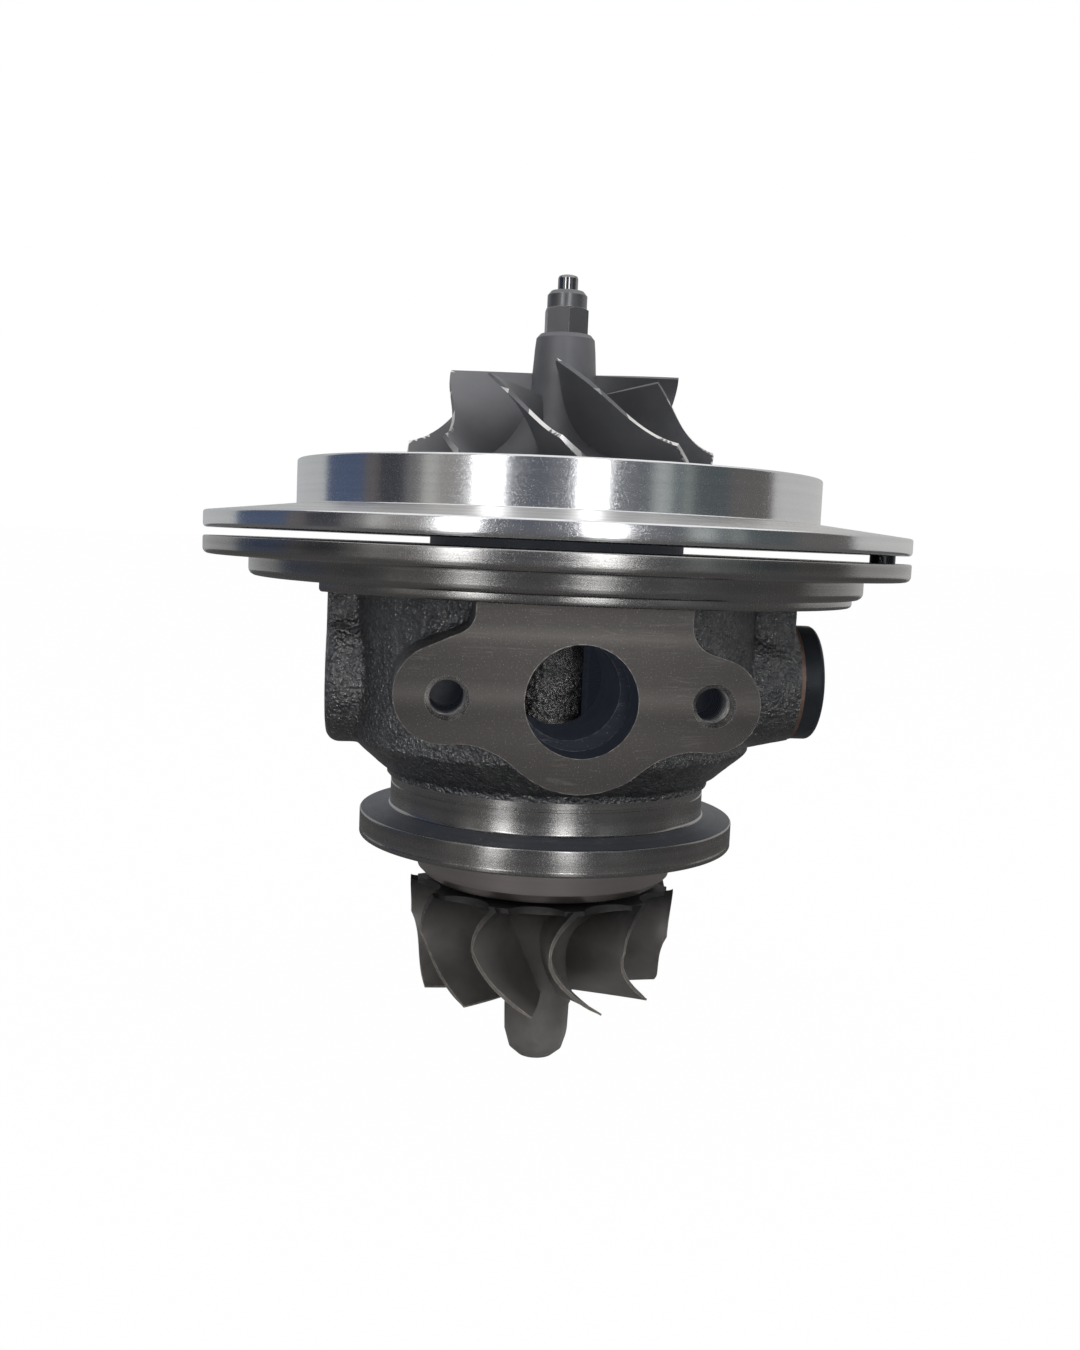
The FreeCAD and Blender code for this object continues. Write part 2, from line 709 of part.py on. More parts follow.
def thrust_bearing():
    """Bronze plate with radial oil grooves on both faces, a feed groove and a drain notch."""
    plate = tube(thrust_r, collar_r + thrust_bore_clearance, thrust_floor_z, thrust_top_z)
    cuts = [block((-tongue_half - 0.8, tongue_half + 0.8), (-thrust_r - 1, -thrust_r + 2.2),
                  (thrust_floor_z - 1, thrust_top_z + 1))]
    half = thrust_groove_width / 2
    for i in range(thrust_groove_count):
        angle = 90 + 360 * i / thrust_groove_count
        for z in (thrust_floor_z - 1, thrust_top_z - thrust_groove_depth):
            groove = block((0, washer_r - 0.4), (-half, half), (z, z + 1 + thrust_groove_depth))
            cuts.append(spin(groove, angle))
    cuts.append(rod(gallery_r * 0.7, thrust_floor_z - 1, thrust_top_z - 1, V(0, gallery_y, 0)))
    cuts.append(side_rod(gallery_r * 0.5, 180, thrust_floor_z + thrust_thickness / 2, 3, gallery_y))
    for angle in (-90, 90):
        cuts.append(rod(thrust_pin_r + 0.05, thrust_floor_z - 1, thrust_top_z + 1,
                        at_angle(thrust_pin_circle_r, angle, 0)))
    return plate.cut(cuts)


def thrust_bearing_pins():
    pins = []
    for angle in (-90, 90):
        pins.append(rod(thrust_pin_r, thrust_floor_z - thrust_pin_depth, thrust_top_z - 0.2,
                        at_angle(thrust_pin_circle_r, angle, 0)))
    return Part.makeCompound(pins)


def thrust_washer():
    return tube(washer_r, shaft_nose_r + shaft_fit, washer_bottom_z, washer_top_z)


def thrust_collar():
    return tube(collar_r, shaft_nose_r + shaft_fit, washer_top_z, flinger_bottom_z)


def oil_flinger():
    """Flange that throws the oil out, and above it the bush with the seal ring groove."""
    inner = shaft_nose_r + shaft_fit
    groove_half = comp_ring_width / 2 + ring_side_play
    floor_r = comp_seal_bore_r - comp_ring_radial - ring_floor_room
    return turned([
        (inner, flinger_bottom_z), (flinger_flange_r, flinger_bottom_z),
        (flinger_flange_r, flinger_flange_top_z), (flinger_r, flinger_flange_top_z),
        (flinger_r, comp_ring_z - groove_half), (floor_r, comp_ring_z - groove_half),
        (floor_r, comp_ring_z + groove_half), (flinger_r, comp_ring_z + groove_half),
        (flinger_r, comp_boss_bottom), (inner, comp_boss_bottom)])


def compressor_seal_ring():
    half = comp_ring_width / 2
    return split_ring(comp_seal_bore_r, comp_seal_bore_r - comp_ring_radial,
                      comp_ring_z - half, comp_ring_z + half, ring_gap, 120)


def turbine_seal_ring():
    half = turb_ring_width / 2
    return split_ring(turb_seal_bore_r, turb_seal_bore_r - turb_ring_radial,
                      turb_ring_z - half, turb_ring_z + half, ring_gap, 120)


def journal_bearing(top):
    """Floating bronze bush with chamfered ends and four oil holes."""
    r_in = journal_r + bearing_clearance_in
    r_out = bore_r - bearing_clearance_out
    low = top - bearing_length
    c = bearing_chamfer
    bush = turned([
        (r_in + c, low), (r_out - c, low), (r_out, low + c), (r_out, top - c), (r_out - c, top),
        (r_in + c, top), (r_in, top - c), (r_in, low + c)])
    holes = []
    for i in range(4):
        holes.append(side_rod(bearing_hole_r, 45 + 90 * i, (top + low) / 2, 0, r_out + 1))
    return bush.cut(holes)


def bearing_clips(levels):
    """Round wire clips that keep a floating bush from walking along the bore."""
    clips = []
    r_out = bore_r + clip_groove_depth
    gap = 2 * r_out * math.sin(math.radians(clip_gap_angle / 2))
    for low in levels:
        clips.append(split_ring(r_out, bore_r - clip_reach, low, low + clip_thickness, gap, 180))
    return Part.makeCompound(clips)


def coolant_plug():
    """Flanged plug with a hexagon socket in the second coolant port."""
    seat = plug_port_face + plug_washer_thickness
    along = direction(90)
    head = side_rod(plug_head_r, 90, port_z, seat, seat + plug_head_height)
    outer = [e for e in head.Edges if abs(e.CenterOfMass.x - seat - plug_head_height) < 0.01]
    head = head.makeFillet(plug_head_round, outer)
    shank = side_rod(port_bore_r - thread_clearance, 90, port_z, seat - plug_shank_length, seat)
    foot = along * (seat + plug_head_height - plug_hex_depth) + V(0, 0, port_z)
    socket = hex_prism(plug_hex, foot, along, plug_hex_depth + 1)
    return head.fuse(shank).cut(socket)


def coolant_plug_washer():
    ring = side_rod(plug_washer_r, 90, port_z, plug_port_face, plug_port_face + plug_washer_thickness)
    hole = side_rod(port_bore_r + port_chamfer, 90, port_z, plug_port_face - 1,
                    plug_port_face + plug_washer_thickness + 1)
    return ring.cut(hole)


def heat_shield():
    """Pressed sheet cup: a flange under the V-band rim, a drawn wall and a floor over the turbine wheel."""
    s = shield_thickness
    knee_z = vband_bottom_z - shield_knee_drop
    bend_r = shield_knee_r - shield_round
    bend_z = knee_z - shield_round
    hole_r = turb_hub_r + shield_hole_room
    return turned([
        (shield_r - s, vband_bottom_z), (shield_flange_r, vband_bottom_z),
        (shield_flange_r, vband_bottom_z - s), (shield_r, vband_bottom_z - s),
        (shield_knee_r, knee_z), (bend_r, bend_z), (shield_floor_r, shield_floor_z),
        (hole_r, shield_floor_z), (hole_r, shield_floor_z + s), (shield_floor_r, shield_floor_z + s),
        (bend_r - s * 0.6, bend_z + s * 0.7), (shield_knee_r - s, knee_z)])


def rotor_shaft():
    """Ground shaft: slim compressor end with a stepped tip, two journals and a waist between them."""
    relief_top = bearing_top_z - bearing_length - 1.2
    relief_low = bearing_low_z + 1.2
    tip_z = nut_top_z + 0.2
    step = shaft_nose_r - shaft_tip_r
    top = tip_z + shaft_tip_length
    r = shaft_tip_round
    journal_end = sling_top_z - 0.6
    return turned([
        (0, turb_weld_z), (shaft_root_r, turb_weld_z), (shaft_root_r, journal_end),
        (journal_r, journal_end + 0.7), (journal_r, relief_low), (shaft_relief_r, relief_low + 0.35),
        (shaft_relief_r, relief_top - 0.35), (journal_r, relief_top), (journal_r, washer_bottom_z),
        (shaft_nose_r, washer_bottom_z), (shaft_nose_r, tip_z - step * 0.6), (shaft_tip_r, tip_z),
        (shaft_tip_r, top - r), (shaft_tip_r - r * 0.3, top - r * 0.3), (shaft_tip_r - r, top), (0, top)])


def compressor_hub_line():
    """Hub line under the compressor blades, from the eye to the rim of the disc."""
    rim = pilot_height
    drop = comp_blade_top - rim
    grow = comp_exducer_r - comp_eye_hub_r
    shape = ((0, 1), (0.035, 0.67), (0.165, 0.37), (0.4, 0.15), (0.68, 0.042), (1, 0))
    return [(comp_eye_hub_r + grow * a, rim + drop * b) for a, b in shape]


def compressor_shroud_line():
    """Outer line of the compressor blades, from the inducer tip to the exit corner."""
    foot = pilot_height + comp_exit_height
    drop = comp_blade_top - foot
    grow = comp_exducer_r - comp_inducer_r
    shape = ((0, 1), (0.015, 0.63), (0.2, 0.31), (0.55, 0.11), (1, 0))
    return [(comp_inducer_r + grow * a, foot + drop * b) for a, b in shape]


def compressor_blade(start):
    """Backswept blade from a share of the chord to the exit, its root sunk into the hub."""
    hub = compressor_hub_line()
    shroud = compressor_shroud_line()
    sink = 0.5

    def place(t, s):
        u = start + (1 - start) * t
        r0, z0 = curve_point(hub, u)
        r1, z1 = curve_point(shroud, u)
        reach = math.hypot(r1 - r0, z1 - z0)
        w = s * (1 + sink / reach) - sink / reach
        a0, a1, a2 = comp_root_angles
        b0, b1, b2 = comp_tip_angles
        root = a0 + a1 * u + a2 * u * u
        tip = b0 + b1 * u + b2 * u * u
        r = min(r0 + (r1 - r0) * w, comp_exducer_r)
        return r, root + (tip - root) * w, z0 + (z1 - z0) * w

    def thickness(t, s):
        taper = comp_root_thickness + (comp_tip_thickness - comp_root_thickness) * s
        nose = 0.55 + 0.45 * min(1.0, t / 0.12)
        return taper * nose

    return blade(10, 3, place, thickness)


def compressor_wheel():
    """Wheel with full blades and splitters between them."""
    hub_line = compressor_hub_line()
    rim_low = pilot_height - comp_disc_thickness
    bore = shaft_nose_r + shaft_fit
    boss_r = comp_seal_bore_r - 0.25
    top = hub_line[0]
    nose = [(top[0], top[1]), (comp_nose_r + 0.2, comp_hub_top - 2.6), (comp_nose_r, comp_hub_top - 0.7),
            (comp_nose_r - 0.6, comp_hub_top), (bore, comp_hub_top), (bore, comp_boss_bottom),
            (boss_r, comp_boss_bottom), (boss_r, rim_low - 0.2), (boss_r + 1.0, rim_low),
            (comp_exducer_r, rim_low), (comp_exducer_r, hub_line[-1][1])]
    edges = [spline_edge(hub_line)]
    for a, b in zip(nose[:-1], nose[1:]):
        edges.append(line_edge(a, b))
    hub = turned_edges(edges)
    blades = []
    for start, offset in ((0.0, 0.0), (comp_splitter_start, 180 / comp_blade_count)):
        one = compressor_blade(start)
        for i in range(comp_blade_count):
            blades.append(spin(one, comp_first_blade + offset + 360 * i / comp_blade_count))
    return hub.fuse(blades).cut(rod(bore, comp_boss_bottom - 1, comp_hub_top + 1))


def compressor_nut():
    """Hexagon nut with a round locking collar on top."""
    hexagon = hex_prism(nut_hex, V(0, 0, comp_hub_top), V(0, 0, 1), nut_hex_height, nut_turn - 90)
    cap = turned([
        (0, comp_hub_top), (nut_hex * 0.6, comp_hub_top), (nut_hex * 0.6, comp_hub_top + nut_hex_height - 0.5),
        (nut_collar_r, comp_hub_top + nut_hex_height), (0, comp_hub_top + nut_hex_height)])
    collar_low = comp_hub_top + nut_hex_height - 0.2
    collar = turned([
        (0, collar_low), (nut_collar_r, collar_low), (nut_collar_r, nut_top_z - 0.7),
        (nut_collar_r - 0.6, nut_top_z), (0, nut_top_z)])
    bore = rod(shaft_nose_r + shaft_fit, comp_hub_top - 1, nut_top_z + 1)
    return hexagon.common(cap).fuse(collar).cut(bore).removeSplitter()


def turbine_hub_line():
    """Hub line under the turbine blades, from the back disc to the nose."""
    rim = turb_blade_top - turb_disc_thickness * 0.6
    drop = rim - turb_hub_end_z
    grow = turb_disc_r - turb_neck_r
    shape = ((1, 1), (0.68, 0.93), (0.4, 0.78), (0.2, 0.57), (0.07, 0.3), (0, 0))
    return [(turb_neck_r + grow * a, turb_hub_end_z + drop * b) for a, b in shape]


def turbine_shroud_line():
    """Outer line of the turbine blades, from the inlet corner to the exit tip."""
    drop = turb_corner_z - turb_tip_z
    grow = turb_inducer_r - turb_exducer_r
    shape = ((1, 1), (0.5, 0.76), (0.18, 0.48), (0.03, 0.2), (0, 0))
    return [(turb_exducer_r + grow * a, turb_tip_z + drop * b) for a, b in shape]


def turbine_camber(z):
    """Angle of the turbine camber sheet at a height: raked at the inlet, swept at the exit."""
    if z > turb_corner_z:
        return turb_inlet_rake * ((z - turb_corner_z) / (turb_blade_top - turb_corner_z)) ** 2
    return turb_exit_sweep * ((turb_corner_z - z) / (turb_corner_z - turb_tip_z)) ** 2


def turbine_blade():
    """Radial-fibre blade between the hub line and the outer line, its root sunk into the hub."""
    hub = turbine_hub_line()
    shroud = turbine_shroud_line()
    sink = 0.7

    def place(t, s):
        r0, z0 = curve_point(hub, t)
        r1, z1 = curve_point(shroud, t)
        inlet = max(0.0, 1 - t / 0.18)
        r0 = r0 + (turb_inducer_r - r0) * inlet
        reach = math.hypot(r1 - r0, z1 - z0)
        w = s * (1 + sink / reach) - sink / reach
        r = r0 + (r1 - r0) * w
        z = min(z0 + (z1 - z0) * w, turb_blade_top)
        return r, turbine_camber(z), z

    def thickness(t, s):
        taper = turb_root_thickness + (turb_tip_thickness - turb_root_thickness) * s
        inlet = 0.6 + 0.4 * min(1.0, t / 0.2)
        exit_edge = 0.55 + 0.45 * min(1.0, (1 - t) / 0.2)
        return taper * inlet * exit_edge

    return blade(10, 4, place, thickness)


def turbine_wheel():
    """Wheel with scalloped back disc, seal ring groove in its hub and a faceted nose."""
    hub_line = turbine_hub_line()
    groove_half = turb_ring_width / 2 + ring_side_play
    floor_r = turb_seal_bore_r - turb_ring_radial - ring_floor_room
    end = turb_nose_end
    outline = [
        hub_line[-1], (turb_nose_r + 0.3, turb_hub_end_z - 3), (turb_nose_r, end + 4.6),
        (turb_nose_r - 0.9, end + 1.6), (turb_nose_r - 2.4, end + 0.3), (0, end), (0, turb_weld_z),
        (turb_hub_r - 0.8, turb_weld_z), (turb_hub_r, turb_weld_z - 0.8),
        (turb_hub_r, turb_ring_z + groove_half), (floor_r, turb_ring_z + groove_half),
        (floor_r, turb_ring_z - groove_half), (turb_hub_r, turb_ring_z - groove_half),
        (turb_hub_r, turb_blade_top), (turb_disc_r, turb_blade_top), hub_line[0]]
    edges = [spline_edge(hub_line)]
    for a, b in zip(outline[:-1], outline[1:]):
        edges.append(line_edge(a, b))
    hub = turned_edges(edges)
    flats = hex_prism(2 * turb_nose_flat, V(0, 0, end - 1), V(0, 0, 1), turb_hub_end_z - 2 - end, 10)
    nose = rod(turb_disc_r, end - 1, turb_hub_end_z - 3)
    hub = hub.cut(nose.cut(flats))
    scallops = []
    pitch = 360 / turb_blade_count
    for i in range(turb_blade_count):
        angle = turb_first_blade + turb_inlet_rake + pitch * (i + 0.5)
        place = at_angle(turb_scallop_circle_r, angle, 0)
        scallops.append(rod(turb_scallop_r, turb_blade_top - 6, turb_blade_top + 1, place))
    hub = hub.cut(scallops)
    one = turbine_blade()
    blades = [spin(one, turb_first_blade + pitch * i) for i in range(turb_blade_count)]
    return hub.fuse(blades)


clips = clip_levels()
nodes = {
    "bearing_housing": bearing_housing(),
    "backplate": backplate(),
    "backplate_screws": backplate_screws(),
    "backplate_o_ring": backplate_o_ring(),
    "locating_pin": locating_pin(),
    "oil_baffle": oil_baffle(),
    "thrust_bearing": thrust_bearing(),
    "thrust_bearing_pins": thrust_bearing_pins(),
    "compressor_seal_ring": compressor_seal_ring(),
    "turbine_seal_ring": turbine_seal_ring(),
    "compressor_bearing_clips": bearing_clips(clips[:2]),
    "turbine_bearing_clips": bearing_clips(clips[2:]),
    "heat_shield": heat_shield(),
    "coolant_plug": coolant_plug(),
    "coolant_plug_washer": coolant_plug_washer(),
    "compressor_journal_bearing": journal_bearing(bearing_top_z),
    "turbine_journal_bearing": journal_bearing(bearing_low_z),
    "rotor_shaft": rotor_shaft(),
    "turbine_wheel": turbine_wheel(),
    "thrust_washer": thrust_washer(),
    "thrust_collar": thrust_collar(),
    "oil_flinger": oil_flinger(),
    "compressor_wheel": compressor_wheel(),
    "compressor_nut": compressor_nut(),
}

os.makedirs("parts", exist_ok=True)
for name, shape in nodes.items():
    shape.exportStep("parts/" + name + ".step")
    print(name, len(shape.Solids), "solid(s)", round(shape.Volume, 1), "mm3", shape.isValid())
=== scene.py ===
# %% [markdown]
# A water-cooled turbocharger cartridge, dressed over its CAD frame.
# The visible pieces are rebuilt here with fine edges, cast skin and turned finishes,
# on the same sizes as the solids. Sizes in this file are millimetres until a mesh is
# finished, where they become metres; the studio at the end is in metres. The rotor axis is Z,
# the compressor end is up, and the oil drain faces -Y. Angles run about Z from the drain side
# toward +X.

import math

import bmesh
import bpy
import numpy as np
from mathutils import Matrix, Vector, noise


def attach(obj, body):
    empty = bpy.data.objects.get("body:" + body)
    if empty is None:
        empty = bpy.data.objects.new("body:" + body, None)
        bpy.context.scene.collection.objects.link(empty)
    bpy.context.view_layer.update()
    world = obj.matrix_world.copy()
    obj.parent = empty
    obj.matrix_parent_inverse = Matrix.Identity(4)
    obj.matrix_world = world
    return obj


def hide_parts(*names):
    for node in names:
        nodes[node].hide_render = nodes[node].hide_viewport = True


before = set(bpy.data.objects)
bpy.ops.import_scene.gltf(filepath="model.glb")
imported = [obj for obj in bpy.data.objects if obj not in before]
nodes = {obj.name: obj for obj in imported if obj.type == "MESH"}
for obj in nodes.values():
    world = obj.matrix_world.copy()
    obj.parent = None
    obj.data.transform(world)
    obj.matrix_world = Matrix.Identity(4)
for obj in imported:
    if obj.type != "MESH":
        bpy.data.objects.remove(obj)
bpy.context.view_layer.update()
scene = bpy.context.scene
MM = 0.001

# %% [markdown]
# The camera stands where the photograph was taken: a little left of the drain side and just
# above the middle of the object, tilted down, with a slight roll.

# %% Camera
CAMERA_TURN = -6.5
CAMERA_DISTANCE = 228.6
CAMERA_HEIGHT = -4.88
CAMERA_PITCH = 5.54
CAMERA_YAW = 0.47
CAMERA_ROLL = 2.45
LENS = 36.0
SENSOR = 36.0
NEAREST = 0.005

camera_data = bpy.data.cameras.new("camera")
camera_data.lens = LENS
camera_data.sensor_width = SENSOR
camera_data.clip_start = NEAREST
camera = bpy.data.objects.new("camera", camera_data)
scene.collection.objects.link(camera)
camera.matrix_world = (
    Matrix.Rotation(math.radians(CAMERA_TURN), 4, "Z")
    @ Matrix.Translation((0, -CAMERA_DISTANCE * MM, CAMERA_HEIGHT * MM))
    @ Matrix.Rotation(math.radians(90), 4, "X")
    @ Matrix.Rotation(math.radians(CAMERA_YAW), 4, "Y")
    @ Matrix.Rotation(math.radians(-CAMERA_PITCH), 4, "X")
    @ Matrix.Rotation(math.radians(CAMERA_ROLL), 4, "Z")
)
scene.camera = camera
scene.view_settings.view_transform = "Standard"
print("camera at", [round(v, 4) for v in camera.matrix_world.translation])

# %% [markdown]
# Small helpers for shader nodes. A node is made with its settings and inputs in one call, and
# an input may be a plain value or the output of another node.

# %% Shader helpers


def node(tree, kind, inputs=None, **settings):
    """New shader node with its settings and inputs."""
    made = tree.nodes.new("ShaderNode" + kind)
    for key, value in settings.items():
        setattr(made, key, value)
    for key, value in (inputs or {}).items():
        if isinstance(value, bpy.types.NodeSocket):
            tree.links.new(value, made.inputs[key])
        else:
            made.inputs[key].default_value = value
    return made


def calc(tree, operation, a, b=0.0):
    """One step of arithmetic on values."""
    return node(tree, "Math", {0: a, 1: b}, operation=operation).outputs[0]


def times(tree, a, b):
    """Product of two values."""
    return calc(tree, "MULTIPLY", a, b)


def plus(tree, a, b):
    """Sum of two values."""
    return calc(tree, "ADD", a, b)


def grain(tree, place, scale, detail, rough=0.5):
    """Random clouds between 0 and 1; a larger scale makes them smaller."""
    inputs = {"Vector": place, "Scale": scale, "Detail": detail, "Roughness": rough}
    return node(tree, "TexNoise", inputs).outputs["Fac"]


def ramp(tree, value, low, high):
    """Value spread from 0 at low to 1 at high, held between them."""
    return node(tree, "MapRange", {"Value": value, "From Min": low, "From Max": high}).outputs[0]


def blend(tree, share, a, b):
    """Colour between a and b; sockets 6 and 7 of a mix node take its two colours."""
    mix = node(tree, "Mix", {"Factor": share}, data_type="RGBA")
    for socket, colour in ((mix.inputs[6], a), (mix.inputs[7], b)):
        if isinstance(colour, bpy.types.NodeSocket):
            tree.links.new(colour, socket)
        else:
            socket.default_value = (*colour, 1)
    return mix.outputs[2]


def group(name, label, outputs):
    """Empty node group with one value input and some value outputs, ready to be filled."""
    tree = bpy.data.node_groups.new(name, "ShaderNodeTree")
    tree.interface.new_socket(label, in_out="INPUT", socket_type="NodeSocketFloat")
    for output in outputs:
        tree.interface.new_socket(output, in_out="OUTPUT", socket_type="NodeSocketFloat")
    return tree, tree.nodes.new("NodeGroupInput").outputs[0], tree.nodes.new("NodeGroupOutput").inputs


def use(tree, shared, value):
    """Outputs of a shared group placed in a tree, with the value of its one input."""
    made = tree.nodes.new("ShaderNodeGroup")
    made.node_tree = shared
    made.inputs[0].default_value = value
    return made.outputs


def millimetres(tree):
    """Object coordinates in millimetres."""
    place = node(tree, "TexCoord").outputs["Object"]
    scaled = node(tree, "VectorMath", {0: place, "Scale": 1 / MM}, operation="SCALE")
    return scaled.outputs[0]


print("shader helpers ready")

# %% [markdown]
# Shared effects. Turning lines run round the rotor axis, so they follow radius and height, with
# a slow drift round the piece. Cast grain is a skin of small bumps with brighter specks. Edge
# wear finds corners by comparing the true normal with a rounded one. Scratches are the thin
# edges of long cells that lie three ways, with a little dust.

# %% Turning lines
turning, per_mm, t_out = group("turning lines", "Lines per mm", ("Height", "Bands"))
parts = node(turning, "SeparateXYZ", {0: millimetres(turning)}).outputs
square = plus(turning, times(turning, parts[0], parts[0]), times(turning, parts[1], parts[1]))
line_r = times(turning, calc(turning, "POWER", square, 0.5), per_mm)
line_z = times(turning, parts[2], per_mm)
drift = times(turning, calc(turning, "ARCTAN2", parts[1], parts[0]), 0.6)
lines = node(turning, "CombineXYZ", {0: line_r, 1: line_z, 2: drift}).outputs[0]
turning.links.new(grain(turning, lines, 1.0, 5.0, 0.7), t_out["Height"])
turning.links.new(ramp(turning, grain(turning, lines, 0.16, 3.0), 0.35, 0.65), t_out["Bands"])
print("turning lines:", len(turning.nodes), "nodes")

# %% Cast grain
cast_grain, per_mm, c_out = group("cast grain", "Grains per mm", ("Height", "Specks", "Mottle"))
place = millimetres(cast_grain)
warp = node(cast_grain, "TexNoise", {"Vector": place, "Scale": 0.9, "Detail": 2.0}).outputs["Color"]
bent = node(cast_grain, "VectorMath", {0: place, 1: warp}, operation="ADD").outputs[0]
bumps = node(cast_grain, "TexVoronoi", {"Vector": bent, "Scale": per_mm, "Smoothness": 0.35},
             feature="SMOOTH_F1").outputs["Distance"]
dome = calc(cast_grain, "SUBTRACT", 1.0, bumps)
sand = grain(cast_grain, place, 3.2, 4.0, 0.65)
height = plus(cast_grain, times(cast_grain, dome, 0.75), times(cast_grain, sand, 0.5))
bright = ramp(cast_grain, grain(cast_grain, place, 2.3, 2.0), 0.54, 0.66)
specks = times(cast_grain, bright, ramp(cast_grain, dome, 0.5, 0.75))
mottle = ramp(cast_grain, grain(cast_grain, place, 0.45, 3.0), 0.3, 0.7)
for value, label in ((height, "Height"), (specks, "Specks"), (mottle, "Mottle")):
    cast_grain.links.new(value, c_out[label])
print("cast grain:", len(cast_grain.nodes), "nodes")

# %% Edge wear
edge_wear, width, e_out = group("edge wear", "Width mm", ("Mask",))
rounded_normal = node(edge_wear, "Bevel", {"Radius": times(edge_wear, width, MM)}, samples=6).outputs[0]
true_normal = node(edge_wear, "NewGeometry").outputs["True Normal"]
facing = node(edge_wear, "VectorMath", {0: rounded_normal, 1: true_normal}, operation="DOT_PRODUCT")
corner = ramp(edge_wear, facing.outputs["Value"], 0.965, 0.85)
chips = ramp(edge_wear, grain(edge_wear, millimetres(edge_wear), 1.1, 4.0), 0.34, 0.62)
edge_wear.links.new(times(edge_wear, corner, chips), e_out["Mask"])
print("edge wear:", len(edge_wear.nodes), "nodes")

# %% Scratches
scratches, size, s_out = group("scratches", "Size", ("Mask", "Dust"))
place = millimetres(scratches)
marks = []
for turn, reach in ((0.5, 0.055), (-0.35, 0.07), (1.35, 0.05)):
    lie = {"Vector": place, "Rotation": (0.3, turn, 0.2), "Scale": (reach, 1.4, 1.4)}
    flat = node(scratches, "Mapping", lie).outputs[0]
    cells = node(scratches, "TexVoronoi", {"Vector": flat, "Scale": size}, feature="DISTANCE_TO_EDGE")
    marks.append(ramp(scratches, cells.outputs["Distance"], 0.012, 0.0))
every = calc(scratches, "MAXIMUM", calc(scratches, "MAXIMUM", marks[0], marks[1]), marks[2])
gate = ramp(scratches, grain(scratches, place, 0.22, 2.0), 0.52, 0.6)
scratches.links.new(times(scratches, every, gate), s_out["Mask"])
scratches.links.new(ramp(scratches, grain(scratches, place, 3.8, 1.0), 0.70, 0.76), s_out["Dust"])
print("shared effects:", [g.name for g in bpy.data.node_groups])

# %% [markdown]
# Materials. Each starts from one function that makes a metal shader with a colour, a roughness
# and a bump fed by the shared effects, so every finish is a short recipe. Deep hollows also
# get a faint painted glow, a light of their own that lifts their blacks.

# %% Metal recipes
# Colour of the painted shade deep inside tapped holes.
PAINTED_DEPTH_SHADE = (0.01, 0.01, 0.012)


def blank(name):
    """New material with its node tree and its plain shader."""
    made = bpy.data.materials.new(name)
    made.use_nodes = True
    return made, made.node_tree, made.node_tree.nodes["Principled BSDF"]


def metal(name, colour, rough, metallic=1.0, stretch=0.0, bump=0.3, depth=0.02):
    """Metal with a bump; the recipe that calls it fills in colour, roughness and relief."""
    made, tree, shader = blank(name)
    shader.inputs["Metallic"].default_value = metallic
    shader.inputs["Anisotropic"].default_value = stretch
    if stretch:
        around_axis = node(tree, "Tangent", direction_type="RADIAL", axis="Z")
        tree.links.new(around_axis.outputs[0], shader.inputs["Tangent"])
        shader.inputs["Anisotropic Rotation"].default_value = 0.25
    bumps = node(tree, "Bump", {"Strength": bump, "Distance": depth * MM})
    tree.links.new(bumps.outputs[0], shader.inputs["Normal"])
    made.diffuse_color = (*colour, 1)
    made.metallic = metallic
    made.roughness = rough
    return made, tree, (shader.inputs["Base Color"], shader.inputs["Roughness"], bumps.inputs["Height"])


def coat(made, sockets, *values):
    """Wire colour, roughness and relief, in this order, and give the material back."""
    for value, socket in zip(values, sockets):
        made.node_tree.links.new(value, socket)
    return made


def turned_metal(name, dark, light, edge, rough=0.25, stretch=0.6, lines=4.0, bump=0.25, wear=0.2, scuff=0.5,
                 pits=0.4):
    """Metal cut on a lathe: fine rings, slow bands of tone, bright corners, a few scratches, pits."""
    made, tree, sockets = metal(name, light, rough, stretch=stretch, bump=bump)
    ring = use(tree, turning, lines)
    marks = use(tree, scratches, 1.0)
    nicks = times(tree, calc(tree, "MAXIMUM", marks["Mask"], marks["Dust"]), scuff)
    grit = grain(tree, millimetres(tree), 5.5, 2.0, 0.6)
    pitted = times(tree, ramp(tree, grit, 0.56, 0.72), pits)
    body = blend(tree, nicks, blend(tree, ring["Bands"], dark, light), edge)
    body = blend(tree, use(tree, edge_wear, wear)["Mask"], body, edge)
    shine = plus(tree, rough, times(tree, ring["Height"], rough * 0.35))
    shine = plus(tree, shine, times(tree, nicks, 0.2))
    shine = plus(tree, shine, times(tree, pitted, 0.3))
    hollow = plus(tree, times(tree, nicks, 0.5), pitted)
    return coat(made, sockets, body, shine, calc(tree, "SUBTRACT", ring["Height"], hollow))


def cast_metal(name, dark, light, speck, rough, grains, depth, specks):
    """Sand-cast skin: small domes and grit in slow patches of tone, with bright specks on the tops."""
    made, tree, sockets = metal(name, light, rough, bump=1.0, depth=depth)
    skin = use(tree, cast_grain, grains)
    body = blend(tree, skin["Mottle"], dark, light)
    body = blend(tree, times(tree, skin["Specks"], specks), body, speck)
    shine = calc(tree, "SUBTRACT", rough + 0.1, times(tree, skin["Specks"], 0.08))
    return coat(made, sockets, body, shine, skin["Height"])


